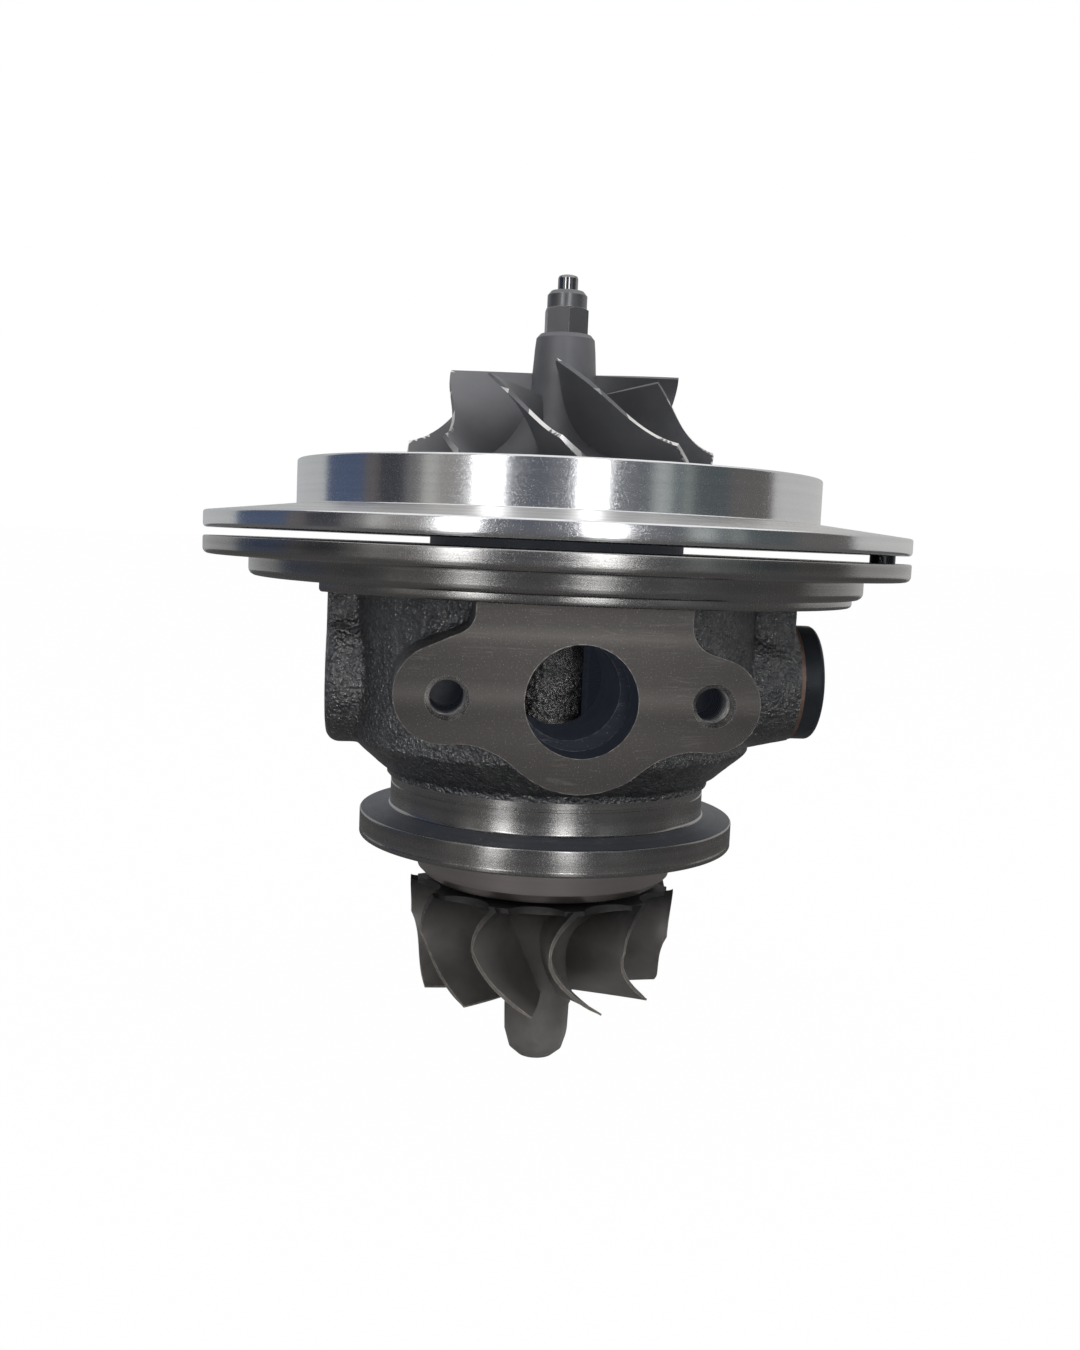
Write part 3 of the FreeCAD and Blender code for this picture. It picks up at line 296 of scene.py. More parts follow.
def milled_metal(name, dark, light, edge, rough, wear, painted_highlight_bands):
    """Flat face cut by a mill: soft level bands, fine specks, a few thin scratches and a bright rim.

    Painted_highlight_bands lists painted highlights, lighter bands of tone, each as a height and a half width.
    """
    made, tree, sockets = metal(name, light, rough, metallic=0.95, bump=0.25)
    place = millimetres(tree)
    lie = {"Vector": place, "Rotation": (0, 0.03, 0), "Scale": (0.02, 1.0, 0.9)}
    level = node(tree, "Mapping", lie).outputs[0]
    bands = grain(tree, level, 0.16, 1.5)
    grit = grain(tree, place, 4.2, 2.0, 0.65)
    body = blend(tree, ramp(tree, bands, 0.3, 0.7), dark, light)
    height = node(tree, "SeparateXYZ", {0: place}).outputs[2]
    # Painted highlight: lighter bands of tone at given heights of the face.
    for middle, half in painted_highlight_bands:
        near = ramp(tree, calc(tree, "ABSOLUTE", calc(tree, "SUBTRACT", height, middle)), half, 0.0)
        body = blend(tree, times(tree, near, 0.09), body, edge)
    body = blend(tree, times(tree, ramp(tree, grit, 0.60, 0.74), 0.4), body, edge)
    body = blend(tree, times(tree, use(tree, scratches, 0.45)["Mask"], 0.12), body, edge)
    body = blend(tree, use(tree, edge_wear, wear)["Mask"], body, edge)
    shine = plus(tree, rough, times(tree, calc(tree, "SUBTRACT", bands, 0.5), 0.2))
    relief = plus(tree, times(tree, grain(tree, level, 7.0, 2.0), 0.4), grit)
    return coat(made, sockets, body, shine, relief)


def threaded_metal(name, dark, light, pitch, axis, mouth):
    """Tapped hole wall: ridges at the thread pitch along one axis, a painted highlight on the crests, painted
    shade in the roots and painted shade deeper in from the mouth.
    """
    made, tree, sockets = metal(name, light, 0.3, metallic=0.9, bump=0.7, depth=0.2)
    place = millimetres(tree)
    run = node(tree, "SeparateXYZ", {0: place}).outputs[axis]
    phase = calc(tree, "FRACT", calc(tree, "DIVIDE", run, pitch))
    crest = calc(tree, "ABSOLUTE", calc(tree, "SUBTRACT", phase, 0.5))
    smear = grain(tree, place, 1.4, 3.0)
    # Painted shade that grows from the mouth inward.
    shade_inward = ramp(tree, calc(tree, "ABSOLUTE", run), mouth - 3.0, mouth - 7.5)
    # Painted highlight on the crests, painted shade in the roots.
    body = blend(tree, ramp(tree, crest, 0.1, 0.45), dark, light)
    body = blend(tree, times(tree, ramp(tree, smear, 0.5, 0.7), 0.5), body, dark)
    body = blend(tree, times(tree, shade_inward, 0.93), body, dark)
    body = blend(tree, times(tree, shade_inward, 0.8), body, PAINTED_DEPTH_SHADE)
    return coat(made, sockets, body, plus(tree, 0.22, times(tree, smear, 0.2)), crest)


def smooth_cast(name, dark, light, edge, rough, metallic=0.9, wear=0.12, worn_share=0.6, painted_top_shade=None,
                worn_from=None):
    """Fine investment casting: soft mottle, a trace of grit and thin pale edges.

    Painted_top_shade is a foot, a top and the colour that takes over between them, a painted shade that darkens
    the casting toward the top. Worn_from keeps the pale edges to the part of the casting outside a radius.
    """
    made, tree, sockets = metal(name, light, rough, metallic=metallic, bump=0.15, depth=0.06)
    place = millimetres(tree)
    cloud = grain(tree, place, 0.28, 4.0, 0.6)
    share = times(tree, use(tree, edge_wear, wear)["Mask"], worn_share)
    if worn_from:
        flat = node(tree, "VectorMath", {0: place, 1: (1, 1, 0)}, operation="MULTIPLY").outputs[0]
        radius = node(tree, "VectorMath", {0: flat}, operation="LENGTH").outputs["Value"]
        share = times(tree, share, ramp(tree, radius, worn_from - 1.5, worn_from + 1.5))
    body = blend(tree, share, blend(tree, ramp(tree, cloud, 0.3, 0.7), dark, light), edge)
    # Painted shade: the casting darkens toward the top.
    if painted_top_shade:
        foot, top, colour = painted_top_shade
        height = node(tree, "SeparateXYZ", {0: place}).outputs[2]
        drift = plus(tree, height, times(tree, cloud, 5.0))
        body = blend(tree, ramp(tree, drift, foot, top), body, colour)
    shine = plus(tree, rough, times(tree, calc(tree, "SUBTRACT", cloud, 0.5), 0.25))
    return coat(made, sockets, body, shine, grain(tree, place, 4.5, 3.0))


print("metal recipes ready")

# %% Materials
polished = turned_metal("polished aluminium", (0.76, 0.77, 0.79), (0.85, 0.85, 0.86), (0.97, 0.97, 0.96),
                        rough=0.145, lines=5.0, bump=0.2, scuff=0.28, pits=0.45)
flange_iron = turned_metal("turned iron", (0.34, 0.335, 0.33), (0.47, 0.46, 0.45), (0.88, 0.86, 0.83),
                           rough=0.19, stretch=0.5, lines=5.0, bump=0.42, scuff=0.3, pits=0.3)
cast_iron = cast_metal("cast iron", (0.185, 0.19, 0.20), (0.315, 0.315, 0.322), (0.80, 0.78, 0.74),
                       rough=0.18, grains=1.4, depth=0.44, specks=0.55)
# Painted light: a lighter copy of the cast iron for the chamber wall seen through the drain hole.
core_iron_painted_light = cast_metal("cored passage iron in painted light", (0.34, 0.335, 0.33), (0.54, 0.525, 0.51), (0.97, 0.95, 0.92),
                       rough=0.15, grains=1.2, depth=0.34, specks=0.5)
pad_iron = milled_metal("milled iron", (0.076, 0.071, 0.068), (0.108, 0.101, 0.096), (0.50, 0.47, 0.43),
                        rough=0.38, wear=0.25, painted_highlight_bands=((-17.6, 1.6), (-26.3, 2.2)))
thread_m6 = threaded_metal("m6 thread", (0.10, 0.10, 0.10), (0.85, 0.82, 0.78), pitch=1.0, axis=1, mouth=40.0)
thread_port = threaded_metal("port thread", (0.08, 0.08, 0.08), (0.30, 0.29, 0.28), pitch=1.5, axis=0,
                             mouth=38.0)
# Painted shade: a dark iron for bored holes, much darker than the turned faces.
bore_iron_painted_shade = turned_metal("bored iron in painted shade", (0.07, 0.07, 0.072), (0.11, 0.108, 0.105), (0.4, 0.38, 0.36), rough=0.35)
# Painted shade: a near-black iron for the drain bore, its core and the bearing tube window.
painted_shade_iron = turned_metal("painted shade iron", (0.02, 0.022, 0.028), (0.03, 0.032, 0.038), (0.3, 0.3, 0.3), rough=0.45)
shaded_iron = turned_metal("shaded iron", (0.068, 0.07, 0.078), (0.095, 0.098, 0.108), (0.5, 0.48, 0.46),
                           rough=0.45)
shield_steel = turned_metal("shield steel", (0.50, 0.45, 0.46), (0.72, 0.66, 0.64), (0.85, 0.80, 0.76),
                            rough=0.33, stretch=0.3, lines=1.5, bump=0.1, scuff=0.2)
# The top of the turbine wheel, under the heat shield, is darkened with painted shade.
turbine_alloy = smooth_cast("turbine alloy", (0.215, 0.205, 0.195), (0.27, 0.255, 0.245), (0.90, 0.78, 0.62),
                            rough=0.5, metallic=0.5, wear=0.2, worn_share=1.0, worn_from=15.0,
                            painted_top_shade=(-67.0, -60.5, (0.05, 0.048, 0.048)))
compressor_cast = smooth_cast("compressor casting", (0.138, 0.14, 0.15), (0.16, 0.162, 0.173),
                              (0.40, 0.40, 0.40), rough=0.48, metallic=0.2, worn_share=0.2)
cut_aluminium = turned_metal("cut aluminium", (0.66, 0.65, 0.64), (0.85, 0.84, 0.82), (0.95, 0.95, 0.95),
                             rough=0.3, stretch=0.2, lines=3.0, bump=0.3)
nut_steel = smooth_cast("nut steel", (0.15, 0.152, 0.16), (0.17, 0.172, 0.18), (0.92, 0.91, 0.90), rough=0.32,
                        metallic=0.6, wear=0.16, worn_share=0.8)
ground_steel = turned_metal("ground steel", (0.25, 0.25, 0.255), (0.31, 0.31, 0.315), (0.6, 0.6, 0.6),
                            rough=0.1, stretch=0.5, lines=8.0, bump=0.1, wear=0.05)
black_oxide = smooth_cast("black oxide", (0.018, 0.022, 0.028), (0.03, 0.036, 0.044), (0.16, 0.18, 0.20),
                          rough=0.3, metallic=0.3)
copper = turned_metal("dull copper", (0.30, 0.20, 0.165), (0.42, 0.28, 0.23), (0.55, 0.42, 0.34), rough=0.45)
bronze = turned_metal("bearing bronze", (0.48, 0.33, 0.17), (0.62, 0.45, 0.25), (0.8, 0.65, 0.4))
dark_steel = smooth_cast("dark steel", (0.20, 0.20, 0.21), (0.32, 0.32, 0.33), (0.6, 0.6, 0.6), rough=0.3)
rubber = smooth_cast("nitrile rubber", (0.012, 0.012, 0.012), (0.025, 0.025, 0.025), (0.04, 0.04, 0.04),
                     rough=0.6, metallic=0.0)
# Painted glow: the materials of deep hollows and shaded faces give off a faint light of their own.
for hollow, glow in (
        (painted_shade_iron, (0.009, 0.011, 0.0155)), (bore_iron_painted_shade, (0.009, 0.011, 0.0155)),
        (thread_m6, (0.006, 0.007, 0.0095)), (thread_port, (0.006, 0.007, 0.0095)),
        (shaded_iron, (0.018, 0.020, 0.024))):
    shader = hollow.node_tree.nodes["Principled BSDF"]
    shader.inputs["Emission Color"].default_value = (*glow, 1)
    shader.inputs["Emission Strength"].default_value = 1.0
print("materials:", len(bpy.data.materials))

# %% [markdown]
# Mesh helpers. Turned pieces are made from a closed outline of radius and height, whose
# corners can be rounded, spun about an axis. Booleans carve holes, and the carved faces take
# the cutter's material.

# %% Mesh helpers
HOUSING = ("housing", "housing_iron", ["bearing_housing"])
SHARP_CORNER = 32.0
FULL_TURN = 360.0
ON_AXIS = 1e-6
LARGE_ROUND = 192
SMALL_ROUND = 96
CORNER_SHARE = 0.49


def around(r, angle, z=0.0):
    """Point at a radius, an angle from the drain side and a height."""
    a = math.radians(angle)
    return Vector((r * math.sin(a), -r * math.cos(a), z))


def band(inner, outer, low, high):
    """Closed outline of four corners between two radii and two heights."""
    return [(inner, low), (outer, low), (outer, high), (inner, high)]


def rounded(outline, steps=4):
    """Outline whose points may carry a corner radius as a third number."""
    result = []
    count = len(outline)
    for i, point in enumerate(outline):
        if len(point) < 3:
            result.append((point[0], point[1]))
            continue
        here = Vector(point[:2])
        before = Vector(outline[i - 1][:2]) - here
        after = Vector(outline[(i + 1) % count][:2]) - here
        half = before.angle(after) / 2
        reach = min(point[2] / math.tan(half), before.length * CORNER_SHARE, after.length * CORNER_SHARE)
        size = reach * math.tan(half)
        centre = here + (before.normalized() + after.normalized()).normalized() * (size / math.sin(half))
        a = here + before.normalized() * reach - centre
        b = here + after.normalized() * reach - centre
        for k in range(steps + 1):
            share = k / steps
            spoke = (a * (1 - share) + b * share).normalized() * size
            result.append(tuple(centre + spoke))
    return result


def spin_outline(bm, outline, steps=LARGE_ROUND, start=0.0, sweep=FULL_TURN, seat=None):
    """Spin a closed outline about Z, or about the Z of a given frame, into a bmesh."""
    whole = sweep >= FULL_TURN
    count = steps if whole else steps + 1
    rings = []
    for r, z in rounded(outline):
        ring = []
        for j in range(1 if r < ON_AXIS else count):
            place = around(r, start + sweep * j / steps, z)
            ring.append(bm.verts.new(seat @ place if seat else place))
        rings.append(ring)
    for i in range(len(rings)):
        a, b = rings[i], rings[(i + 1) % len(rings)]
        for j in range(count if whole else count - 1):
            k = (j + 1) % count
            corners = list(dict.fromkeys([a[j % len(a)], a[k % len(a)], b[k % len(b)], b[j % len(b)]]))
            if len(corners) > 2:
                bm.faces.new(corners)
    if not whole:
        for j in (0, -1):
            bm.faces.new([ring[j] for ring in rings])


def placed(name, bm, material, unit=MM):
    """Object in metres from a bmesh in one material, its faces turned outward."""
    bmesh.ops.recalc_face_normals(bm, faces=bm.faces)
    mesh = bpy.data.meshes.new(name)
    bm.to_mesh(mesh)
    bm.free()
    mesh.transform(Matrix.Scale(unit, 4))
    mesh.materials.append(material)
    piece = bpy.data.objects.new(name, mesh)
    scene.collection.objects.link(piece)
    return piece


def dress(piece, materials, body, slot, stands_for, angle=SHARP_CORNER):
    """Materials, smooth shading with sharp corners, and the body the piece rides on."""
    for material in materials:
        piece.data.materials.append(material)
    piece.data.shade_smooth()
    piece.data.set_sharp_from_angle(angle=math.radians(angle))
    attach(piece, body)
    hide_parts(*stands_for)
    print(piece.name, len(piece.data.polygons), "faces")


def settle(piece):
    """Apply every modifier by taking the evaluated mesh."""
    graph = bpy.context.evaluated_depsgraph_get()
    mesh = bpy.data.meshes.new_from_object(piece.evaluated_get(graph))
    mesh.name = piece.name
    piece.modifiers.clear()
    piece.data = mesh


def carve(piece, cutters):
    """Cut every cutter out of the piece, then remove the cutters."""
    for cutter in cutters:
        cut = piece.modifiers.new(cutter.name, "BOOLEAN")
        cut.operation = "DIFFERENCE"
        cut.solver = "MANIFOLD"
        cut.material_mode = "TRANSFER"
        cut.object = cutter
    settle(piece)
    for cutter in cutters:
        bpy.data.objects.remove(cutter)


def along(axis, sign, centre):
    """Frame whose Z runs along X or Y from a centre, for turned shapes that lie sideways."""
    turn = Matrix.Rotation(math.radians(90 * sign), 4, "Y" if axis == "X" else "X")
    return Matrix.Translation(centre) @ (turn if axis == "X" else turn.inverted())


def revolve_tool(name, outline, material, steps=SMALL_ROUND, **turn):
    """Cutter spun from a closed outline."""
    bm = bmesh.new()
    spin_outline(bm, outline, steps, **turn)
    return placed(name, bm, material)


def cylinder_tool(name, r, near, far, seat, material, steps=SMALL_ROUND):
    """Round cutter between two distances along the Z of a frame."""
    return revolve_tool(name, band(0, r, near, far), material, steps, seat=seat)


def box_tool(name, low, high, material):
    """Box cutter between two corners."""
    bm = bmesh.new()
    bmesh.ops.create_cube(bm, size=1.0)
    low, high = Vector(low), Vector(high)
    for v in bm.verts:
        v.co = Vector([(a + b) / 2 + c * (b - a) for a, b, c in zip(low, high, v.co)])
    return placed(name, bm, material)


print("mesh helpers ready")

# %% [markdown]
# Sizes of the object, in millimetres, the same as in the solids. Each thread is given by the
# radius of its crests and of its roots, and each groove by its two ends.

# %% Sizes
PILOT_R = 43.3
PILOT_TOP = 7.2
DISC_R = 57.9
RIM_TOP = -1.7
DISC_BOTTOM = -4.4
SLOT_BOTTOM = -5.65
FLANGE_BOTTOM = -8.5
RING_R = 50.7
RING_BOTTOM = -11.7
PAD_RING_R = 49.0
PAD_RING_BOTTOM = -13.0
PAD_RING_ARC = (-50.0, 201.0)
SPIGOT_R = 21.3
SPIGOT_TOP = -1.2
O_RING_FLOOR = 19.66
O_RING_GROOVE = (-1.78, -4.02)
THRUST_R = 12.55
THRUST_FLOOR = -5.5
WASHER_ROOM_R = 9.2
WASHER_ROOM_FLOOR = -7.9
BORE_R = 6.44
FLINGER_TOP = -0.4
COMP_SEAL_R = 5.75
WHEEL_RECESS_R = 26.3
WHEEL_RECESS_FLOOR = 5.2
SCREW_CIRCLE_R = 15.7
SCREW_HEAD_R = 3.6
SCREW_HEAD_DEPTH = 2.6
SCREW_HOLE_R = 2.2
PIN_R = 2.1
PIN_CIRCLE_R = 54.0
PIN_ANGLE = 79.0
PIN_HOLE_END = -12.0

RAW_TOP = -9.5
DRUM_R = 33.7
DRUM_FOOT = -37.6
FLANGE_CORE_R = DRUM_R - 4
CONE_R = 28.4
CONE_FOOT = -42.3
CAST_BAND_R = 27.2
NECK_TOP = -43.9
NECK_R = 26.5
NECK_FOOT = -49.2
NECK_LINE = (1.1, 1.2, 1.5, 1.6)
NECK_LINE_DEEP = 0.12
VBAND_R = 31.6
VBAND_TOP = -50.1
VBAND_BOTTOM = -54.3
VBAND_GROOVE_UP = 0.7
VBAND_GROOVE_WIDE = 0.35
VBAND_GROOVE_DEEP = 0.3
SEAL_BOSS_R = 11.5
SEAL_BOSS_END = -57.6
SLING_R = 10.4
SLING = (-45.6, -50.0)
TURBINE_SEAL_R = 8.6

DRAIN_FACE = 40.0
DRAIN_Z = -26.8
DRAIN_R = 8.1
DRAIN_STEP = 33.0
DRAIN_CORE_R = 7.5
DRAIN_CORE_SHIFT = 1.0
DRAIN_CORE_END = 10.5
TUBE_WINDOW = (4.4, 9.5)
TUBE_WINDOW_FRONT = -13.0
BOLT_OFFSET = 19.0
BOLT_R = 2.5
BOLT_THREAD = (BOLT_R, BOLT_R + 0.42)
BOLT_PITCH = 1.0
BOLT_CHAMFER = 0.65
BOLT_DEPTH = 14.0
PAD_ROUND_R = 13.3
PAD_SHOULDER = 15.4
PAD_LOWER_FILLET = 12.0
PAD_LOBES = {
    -1: {"x": 19.5, "rise": 0.5, "r": 7.1, "fillet": 3.0, "slant": 24.0},
    1: {"x": 19.0, "rise": 0.0, "r": 6.8, "fillet": 4.0, "slant": 17.0},
}

PORT_Z = -26.8
PORT_BOSS_R = 12.4
PORT_R = 6.2
PORT_THREAD = (PORT_R - 0.35, PORT_R + 0.25)
PORT_PITCH = 1.5
PORT_CHAMFER = 1.0
PORT_FLOOR = 25.6
PORT_PASSAGE_R = 4.6
PORT_PASSAGE_END = 21.5
OPEN_PORT_FACE = 37.6
OPEN_PORT_ROUND = 2.2
OPEN_PORT_SKIM = 0.1
PLUG_PORT_FACE = 40.8
PORT_WEB_HALF = 8.5
PLUG_WEB_INSET = 0.9
PLUG_TAPER_START = 30.0
PLUG_TAPER_ROUND = 6.0
PLUG_BOSS_END_R = 10.2
INLET_Z = -16.8
INLET_FACE = 37.0
INLET_R = 5.3
INLET_THREAD = (INLET_R - 0.3, INLET_R + 0.2)
INLET_CHAMFER = 0.9
INLET_DRILLING_R = 1.4
INLET_DRILLING_END = 8.0
INLET_FLOOR = 23.0
INLET_HALF = 9.5
BODY_CORE_R = 18.0
CHAMBER_R = 15.5
CHAMBER = (-20.0, -34.2)
CHAMBER_ANGLE = 164.0
BEARING_TUBE_R = 8.8
JACKET_R = (18.0, 25.0)
JACKET = (-25.6, -39.5)
JACKET_ANGLE = 68.0
print("disc across", 2 * DISC_R, "mm")

# %% [markdown]
# The casting. Its rough outside is a few plain bodies melted into one skin, smoothed as a
# fettled sand casting is, and roughened a little. Then everything that the workshop does to
# it is cut away in order: faces, bores, threads, cored passages.

# %% Pad outline


def arc(centre, r, start, end, steps=10):
    """Points of an arc between two headings in degrees."""
    return [(centre[0] + r * math.cos(a), centre[1] + r * math.sin(a))
            for a in np.radians(np.linspace(start, end, steps + 1))]


def heading(a, b):
    """Heading in degrees from one point to another."""
    return math.degrees(math.atan2(b[1] - a[1], b[0] - a[0]))


def pad_side(side, top):
    """One half of the pad's face as (x, z), x outward: shoulder, slant, bolt lobe, hollow, lower lobe."""
    lobe = PAD_LOBES[side]
    r, bend_r = lobe["r"], lobe["fillet"]
    centre = Vector((lobe["x"], DRAIN_Z + lobe["rise"]))
    middle = Vector((0.0, DRAIN_Z))
    square = Vector((math.sin(math.radians(lobe["slant"])), math.cos(math.radians(lobe["slant"]))))
    bend_x = PAD_SHOULDER + bend_r
    bend = Vector((bend_x, (square.dot(centre) + r + bend_r - square.x * bend_x) / square.y))
    apart = (centre - middle).length
    out = (centre - middle) / apart
    to_lobe, to_round = r + PAD_LOWER_FILLET, PAD_ROUND_R + PAD_LOWER_FILLET
    share = (to_round ** 2 - to_lobe ** 2 + apart ** 2) / (2 * apart)
    hollow = middle + out * share + Vector((out.y, -out.x)) * math.sqrt(to_round ** 2 - share ** 2)
    half = [(PAD_SHOULDER, top)]
    half += arc(bend, bend_r, 180, 270 - lobe["slant"])
    half += arc(centre, r, 90 - lobe["slant"], heading(centre, hollow), 24)
    half += arc(hollow, PAD_LOWER_FILLET, heading(hollow, centre), heading(hollow, middle))
    return half + arc(middle, PAD_ROUND_R, heading(middle, hollow), -90, 16)


def drain_pad_outline(top):
    """Whole face of the pad, down the right side and up the left."""
    left = [(-x, z) for x, z in pad_side(-1, top)]
    return pad_side(1, top) + left[-2::-1]


def prism(bm, outline, near, far):
    """Closed (x, z) outline pushed along Y."""
    fronts = [bm.verts.new((x, near, z)) for x, z in outline]
    backs = [bm.verts.new((x, far, z)) for x, z in outline]
    bm.faces.new(fronts)
    bm.faces.new(backs[::-1])
    for i in range(len(outline)):
        k = (i + 1) % len(outline)
        bm.faces.new((fronts[i], backs[i], backs[k], fronts[k]))


print("pad outline:", len(drain_pad_outline(RAW_TOP)), "points")

# %% Cast skin
SKIN_CELL = 0.5
SKIN_SMOOTHING = 4
EXTRA = 0.7
FINE_LUMPS = 700
WIDE_LUMPS = 260
LUMP_HEIGHT = 0.07

raw = bmesh.new()
spin_outline(raw, [(0, RAW_TOP), (DRUM_R, RAW_TOP), (DRUM_R, DRUM_FOOT), (CONE_R, CONE_FOOT),
                   (CAST_BAND_R, CONE_FOOT - 0.3), (CAST_BAND_R, NECK_TOP - EXTRA), (0, NECK_TOP - EXTRA)])
prism(raw, drain_pad_outline(RAW_TOP), -DRAIN_FACE - EXTRA, -CHAMBER_R)
prism(raw, band(-INLET_HALF, INLET_HALF, INLET_Z - INLET_HALF, RAW_TOP), CHAMBER_R, INLET_FACE + EXTRA)
port_seats = {sign: along("X", sign, (0, 0, PORT_Z)) for sign in (-1, 1)}
spin_outline(raw, [(0, BODY_CORE_R), (PORT_BOSS_R, BODY_CORE_R), (PORT_BOSS_R, OPEN_PORT_FACE, OPEN_PORT_ROUND),
                   (0, OPEN_PORT_FACE)], SMALL_ROUND, seat=port_seats[-1])
spin_outline(raw, [(0, BODY_CORE_R), (PORT_BOSS_R, BODY_CORE_R),
                   (PORT_BOSS_R, PLUG_TAPER_START, PLUG_TAPER_ROUND), (PLUG_BOSS_END_R, PLUG_PORT_FACE),
                   (PLUG_BOSS_END_R, PLUG_PORT_FACE + EXTRA), (0, PLUG_PORT_FACE + EXTRA)],
             SMALL_ROUND, seat=port_seats[1])
for near, far in ((-OPEN_PORT_FACE, -BODY_CORE_R), (BODY_CORE_R, PLUG_PORT_FACE - PLUG_WEB_INSET)):
    prism(raw, band(near, far, PORT_Z, RAW_TOP), -PORT_WEB_HALF, PORT_WEB_HALF)
casting = placed("housing_casting", raw, cast_iron)
melt = casting.modifiers.new("melt", "REMESH")
melt.mode = "VOXEL"
melt.voxel_size = SKIN_CELL * MM
soften = casting.modifiers.new("soften", "SMOOTH")
soften.factor = 0.5
soften.iterations = SKIN_SMOOTHING
settle(casting)
skin = casting.data
coords = np.empty(len(skin.vertices) * 3)
skin.vertices.foreach_get("co", coords)
coords = coords.reshape(-1, 3)
normals = np.array([v.normal for v in skin.vertices])
lumps = np.array([noise.noise(Vector(c) * FINE_LUMPS) * 0.5 + noise.noise(Vector(c) * WIDE_LUMPS)
                  for c in coords])
coords += normals * lumps[:, None] * LUMP_HEIGHT * MM
skin.vertices.foreach_set("co", coords.ravel())
print("cast skin:", len(skin.polygons), "faces")

# %% Machining the casting
# How far the cutters reach: out, sideways, down, up, and past a mouth.
REACH = 60.0
SIDE = 40.0
LOW = -45.0
HIGH = -5.0
BEYOND = 2.0


def threaded_outline(crest, root, near, far, pitch, cone):
    """Outline of a tapped hole from its floor, near, past its mouth, far; ridges end below the cone."""
    points = [(0, near), (crest, near)]
    z = near + 2 * pitch
    while z + pitch < far - cone:
        points += [(crest, z), (root, z + pitch * 0.45), (crest, z + pitch * 0.9)]
        z += pitch
    return points + [(crest, far - cone)] + [(r, far + BEYOND) for r in (crest, 0)]


def sink_outline(r, depth, face):
    """Outline of the cone that breaks the mouth of a tapped hole, 0.1 mm proud of the face."""
    return [(0, face - depth), (r, face - depth), (r + depth + 0.1, face + 0.1), (0, face + 0.1)]


def tapped(name, radii, near, far, pitch, cone, thread, rim, seat):
    """Two cutters of a tapped hole: its wall, and the cone at its mouth."""
    wall = threaded_outline(*radii, near, far, pitch, cone)
    return [revolve_tool(name + " thread", wall, thread, seat=seat),
            revolve_tool(name + " countersink", sink_outline(radii[0], cone, far), rim, seat=seat)]


inlet = along("Y", 1, (0, 0, INLET_Z))
drain = along("Y", -1, (0, 0, DRAIN_Z))
core = along("Y", -1, (-DRAIN_CORE_SHIFT, 0, DRAIN_Z + DRAIN_CORE_SHIFT))
cuts = [
    box_tool("pad face", (-SIDE, -REACH, LOW), (SIDE, -DRAIN_FACE, HIGH), pad_iron),
    box_tool("inlet face", (-SIDE, INLET_FACE, LOW), (SIDE, REACH, HIGH), pad_iron),
    box_tool("open port face", (-REACH, -SIDE, LOW), (-OPEN_PORT_FACE + OPEN_PORT_SKIM, SIDE, HIGH), pad_iron),
    box_tool("plug port face", (PLUG_PORT_FACE, -SIDE, LOW), (REACH, SIDE, HIGH), pad_iron),
    box_tool("neck face", (-SIDE, -SIDE, -REACH), (SIDE, SIDE, NECK_TOP), flange_iron),
    revolve_tool("bearing bore", band(0, BORE_R, -REACH, 0), bore_iron_painted_shade),
    revolve_tool("oil chamber", band(BEARING_TUBE_R, CHAMBER_R, CHAMBER[1], CHAMBER[0]), core_iron_painted_light,
                 start=-CHAMBER_ANGLE, sweep=2 * CHAMBER_ANGLE),
    revolve_tool("water jacket", band(*JACKET_R, JACKET[1], JACKET[0]), cast_iron,
                 start=JACKET_ANGLE, sweep=FULL_TURN - 2 * JACKET_ANGLE),
    cylinder_tool("drain core", DRAIN_CORE_R, DRAIN_CORE_END, DRAIN_STEP + 0.5, core, painted_shade_iron),
    box_tool("bearing tube window", (TUBE_WINDOW[0], TUBE_WINDOW_FRONT, CHAMBER[1]),
             (TUBE_WINDOW[1], 0, CHAMBER[0]), painted_shade_iron),
    cylinder_tool("drain bore", DRAIN_R, DRAIN_STEP, DRAIN_FACE + BEYOND, drain, painted_shade_iron),
    *tapped("inlet", INLET_THREAD, INLET_FLOOR, INLET_FACE, PORT_PITCH, INLET_CHAMFER, thread_port, pad_iron,
            inlet),
    cylinder_tool("inlet drilling", INLET_DRILLING_R, INLET_DRILLING_END, INLET_FLOOR + 1, inlet, bore_iron_painted_shade, 32),
]
for side in (-1, 1):
    cuts += tapped("bolt", BOLT_THREAD, DRAIN_FACE - BOLT_DEPTH, DRAIN_FACE, BOLT_PITCH, BOLT_CHAMFER, thread_m6,
                   flange_iron, along("Y", -1, (side * BOLT_OFFSET, 0, DRAIN_Z)))
for side, face in ((-1, OPEN_PORT_FACE), (1, PLUG_PORT_FACE)):
    seat = port_seats[side]
    cuts.append(cylinder_tool("port passage", PORT_PASSAGE_R, PORT_PASSAGE_END, PORT_FLOOR + 1, seat, cast_iron))
    cuts += tapped("port", PORT_THREAD, PORT_FLOOR, face, PORT_PITCH, PORT_CHAMFER, thread_port, pad_iron, seat)
carve(casting, cuts)
dress(casting, [], *HOUSING, angle=40.0)

# %% [markdown]
# The turned parts of the same casting: the wide flange with its spigot under the backplate,
# the ring that stands proud on most of its underside, and the neck with the V-band rim.

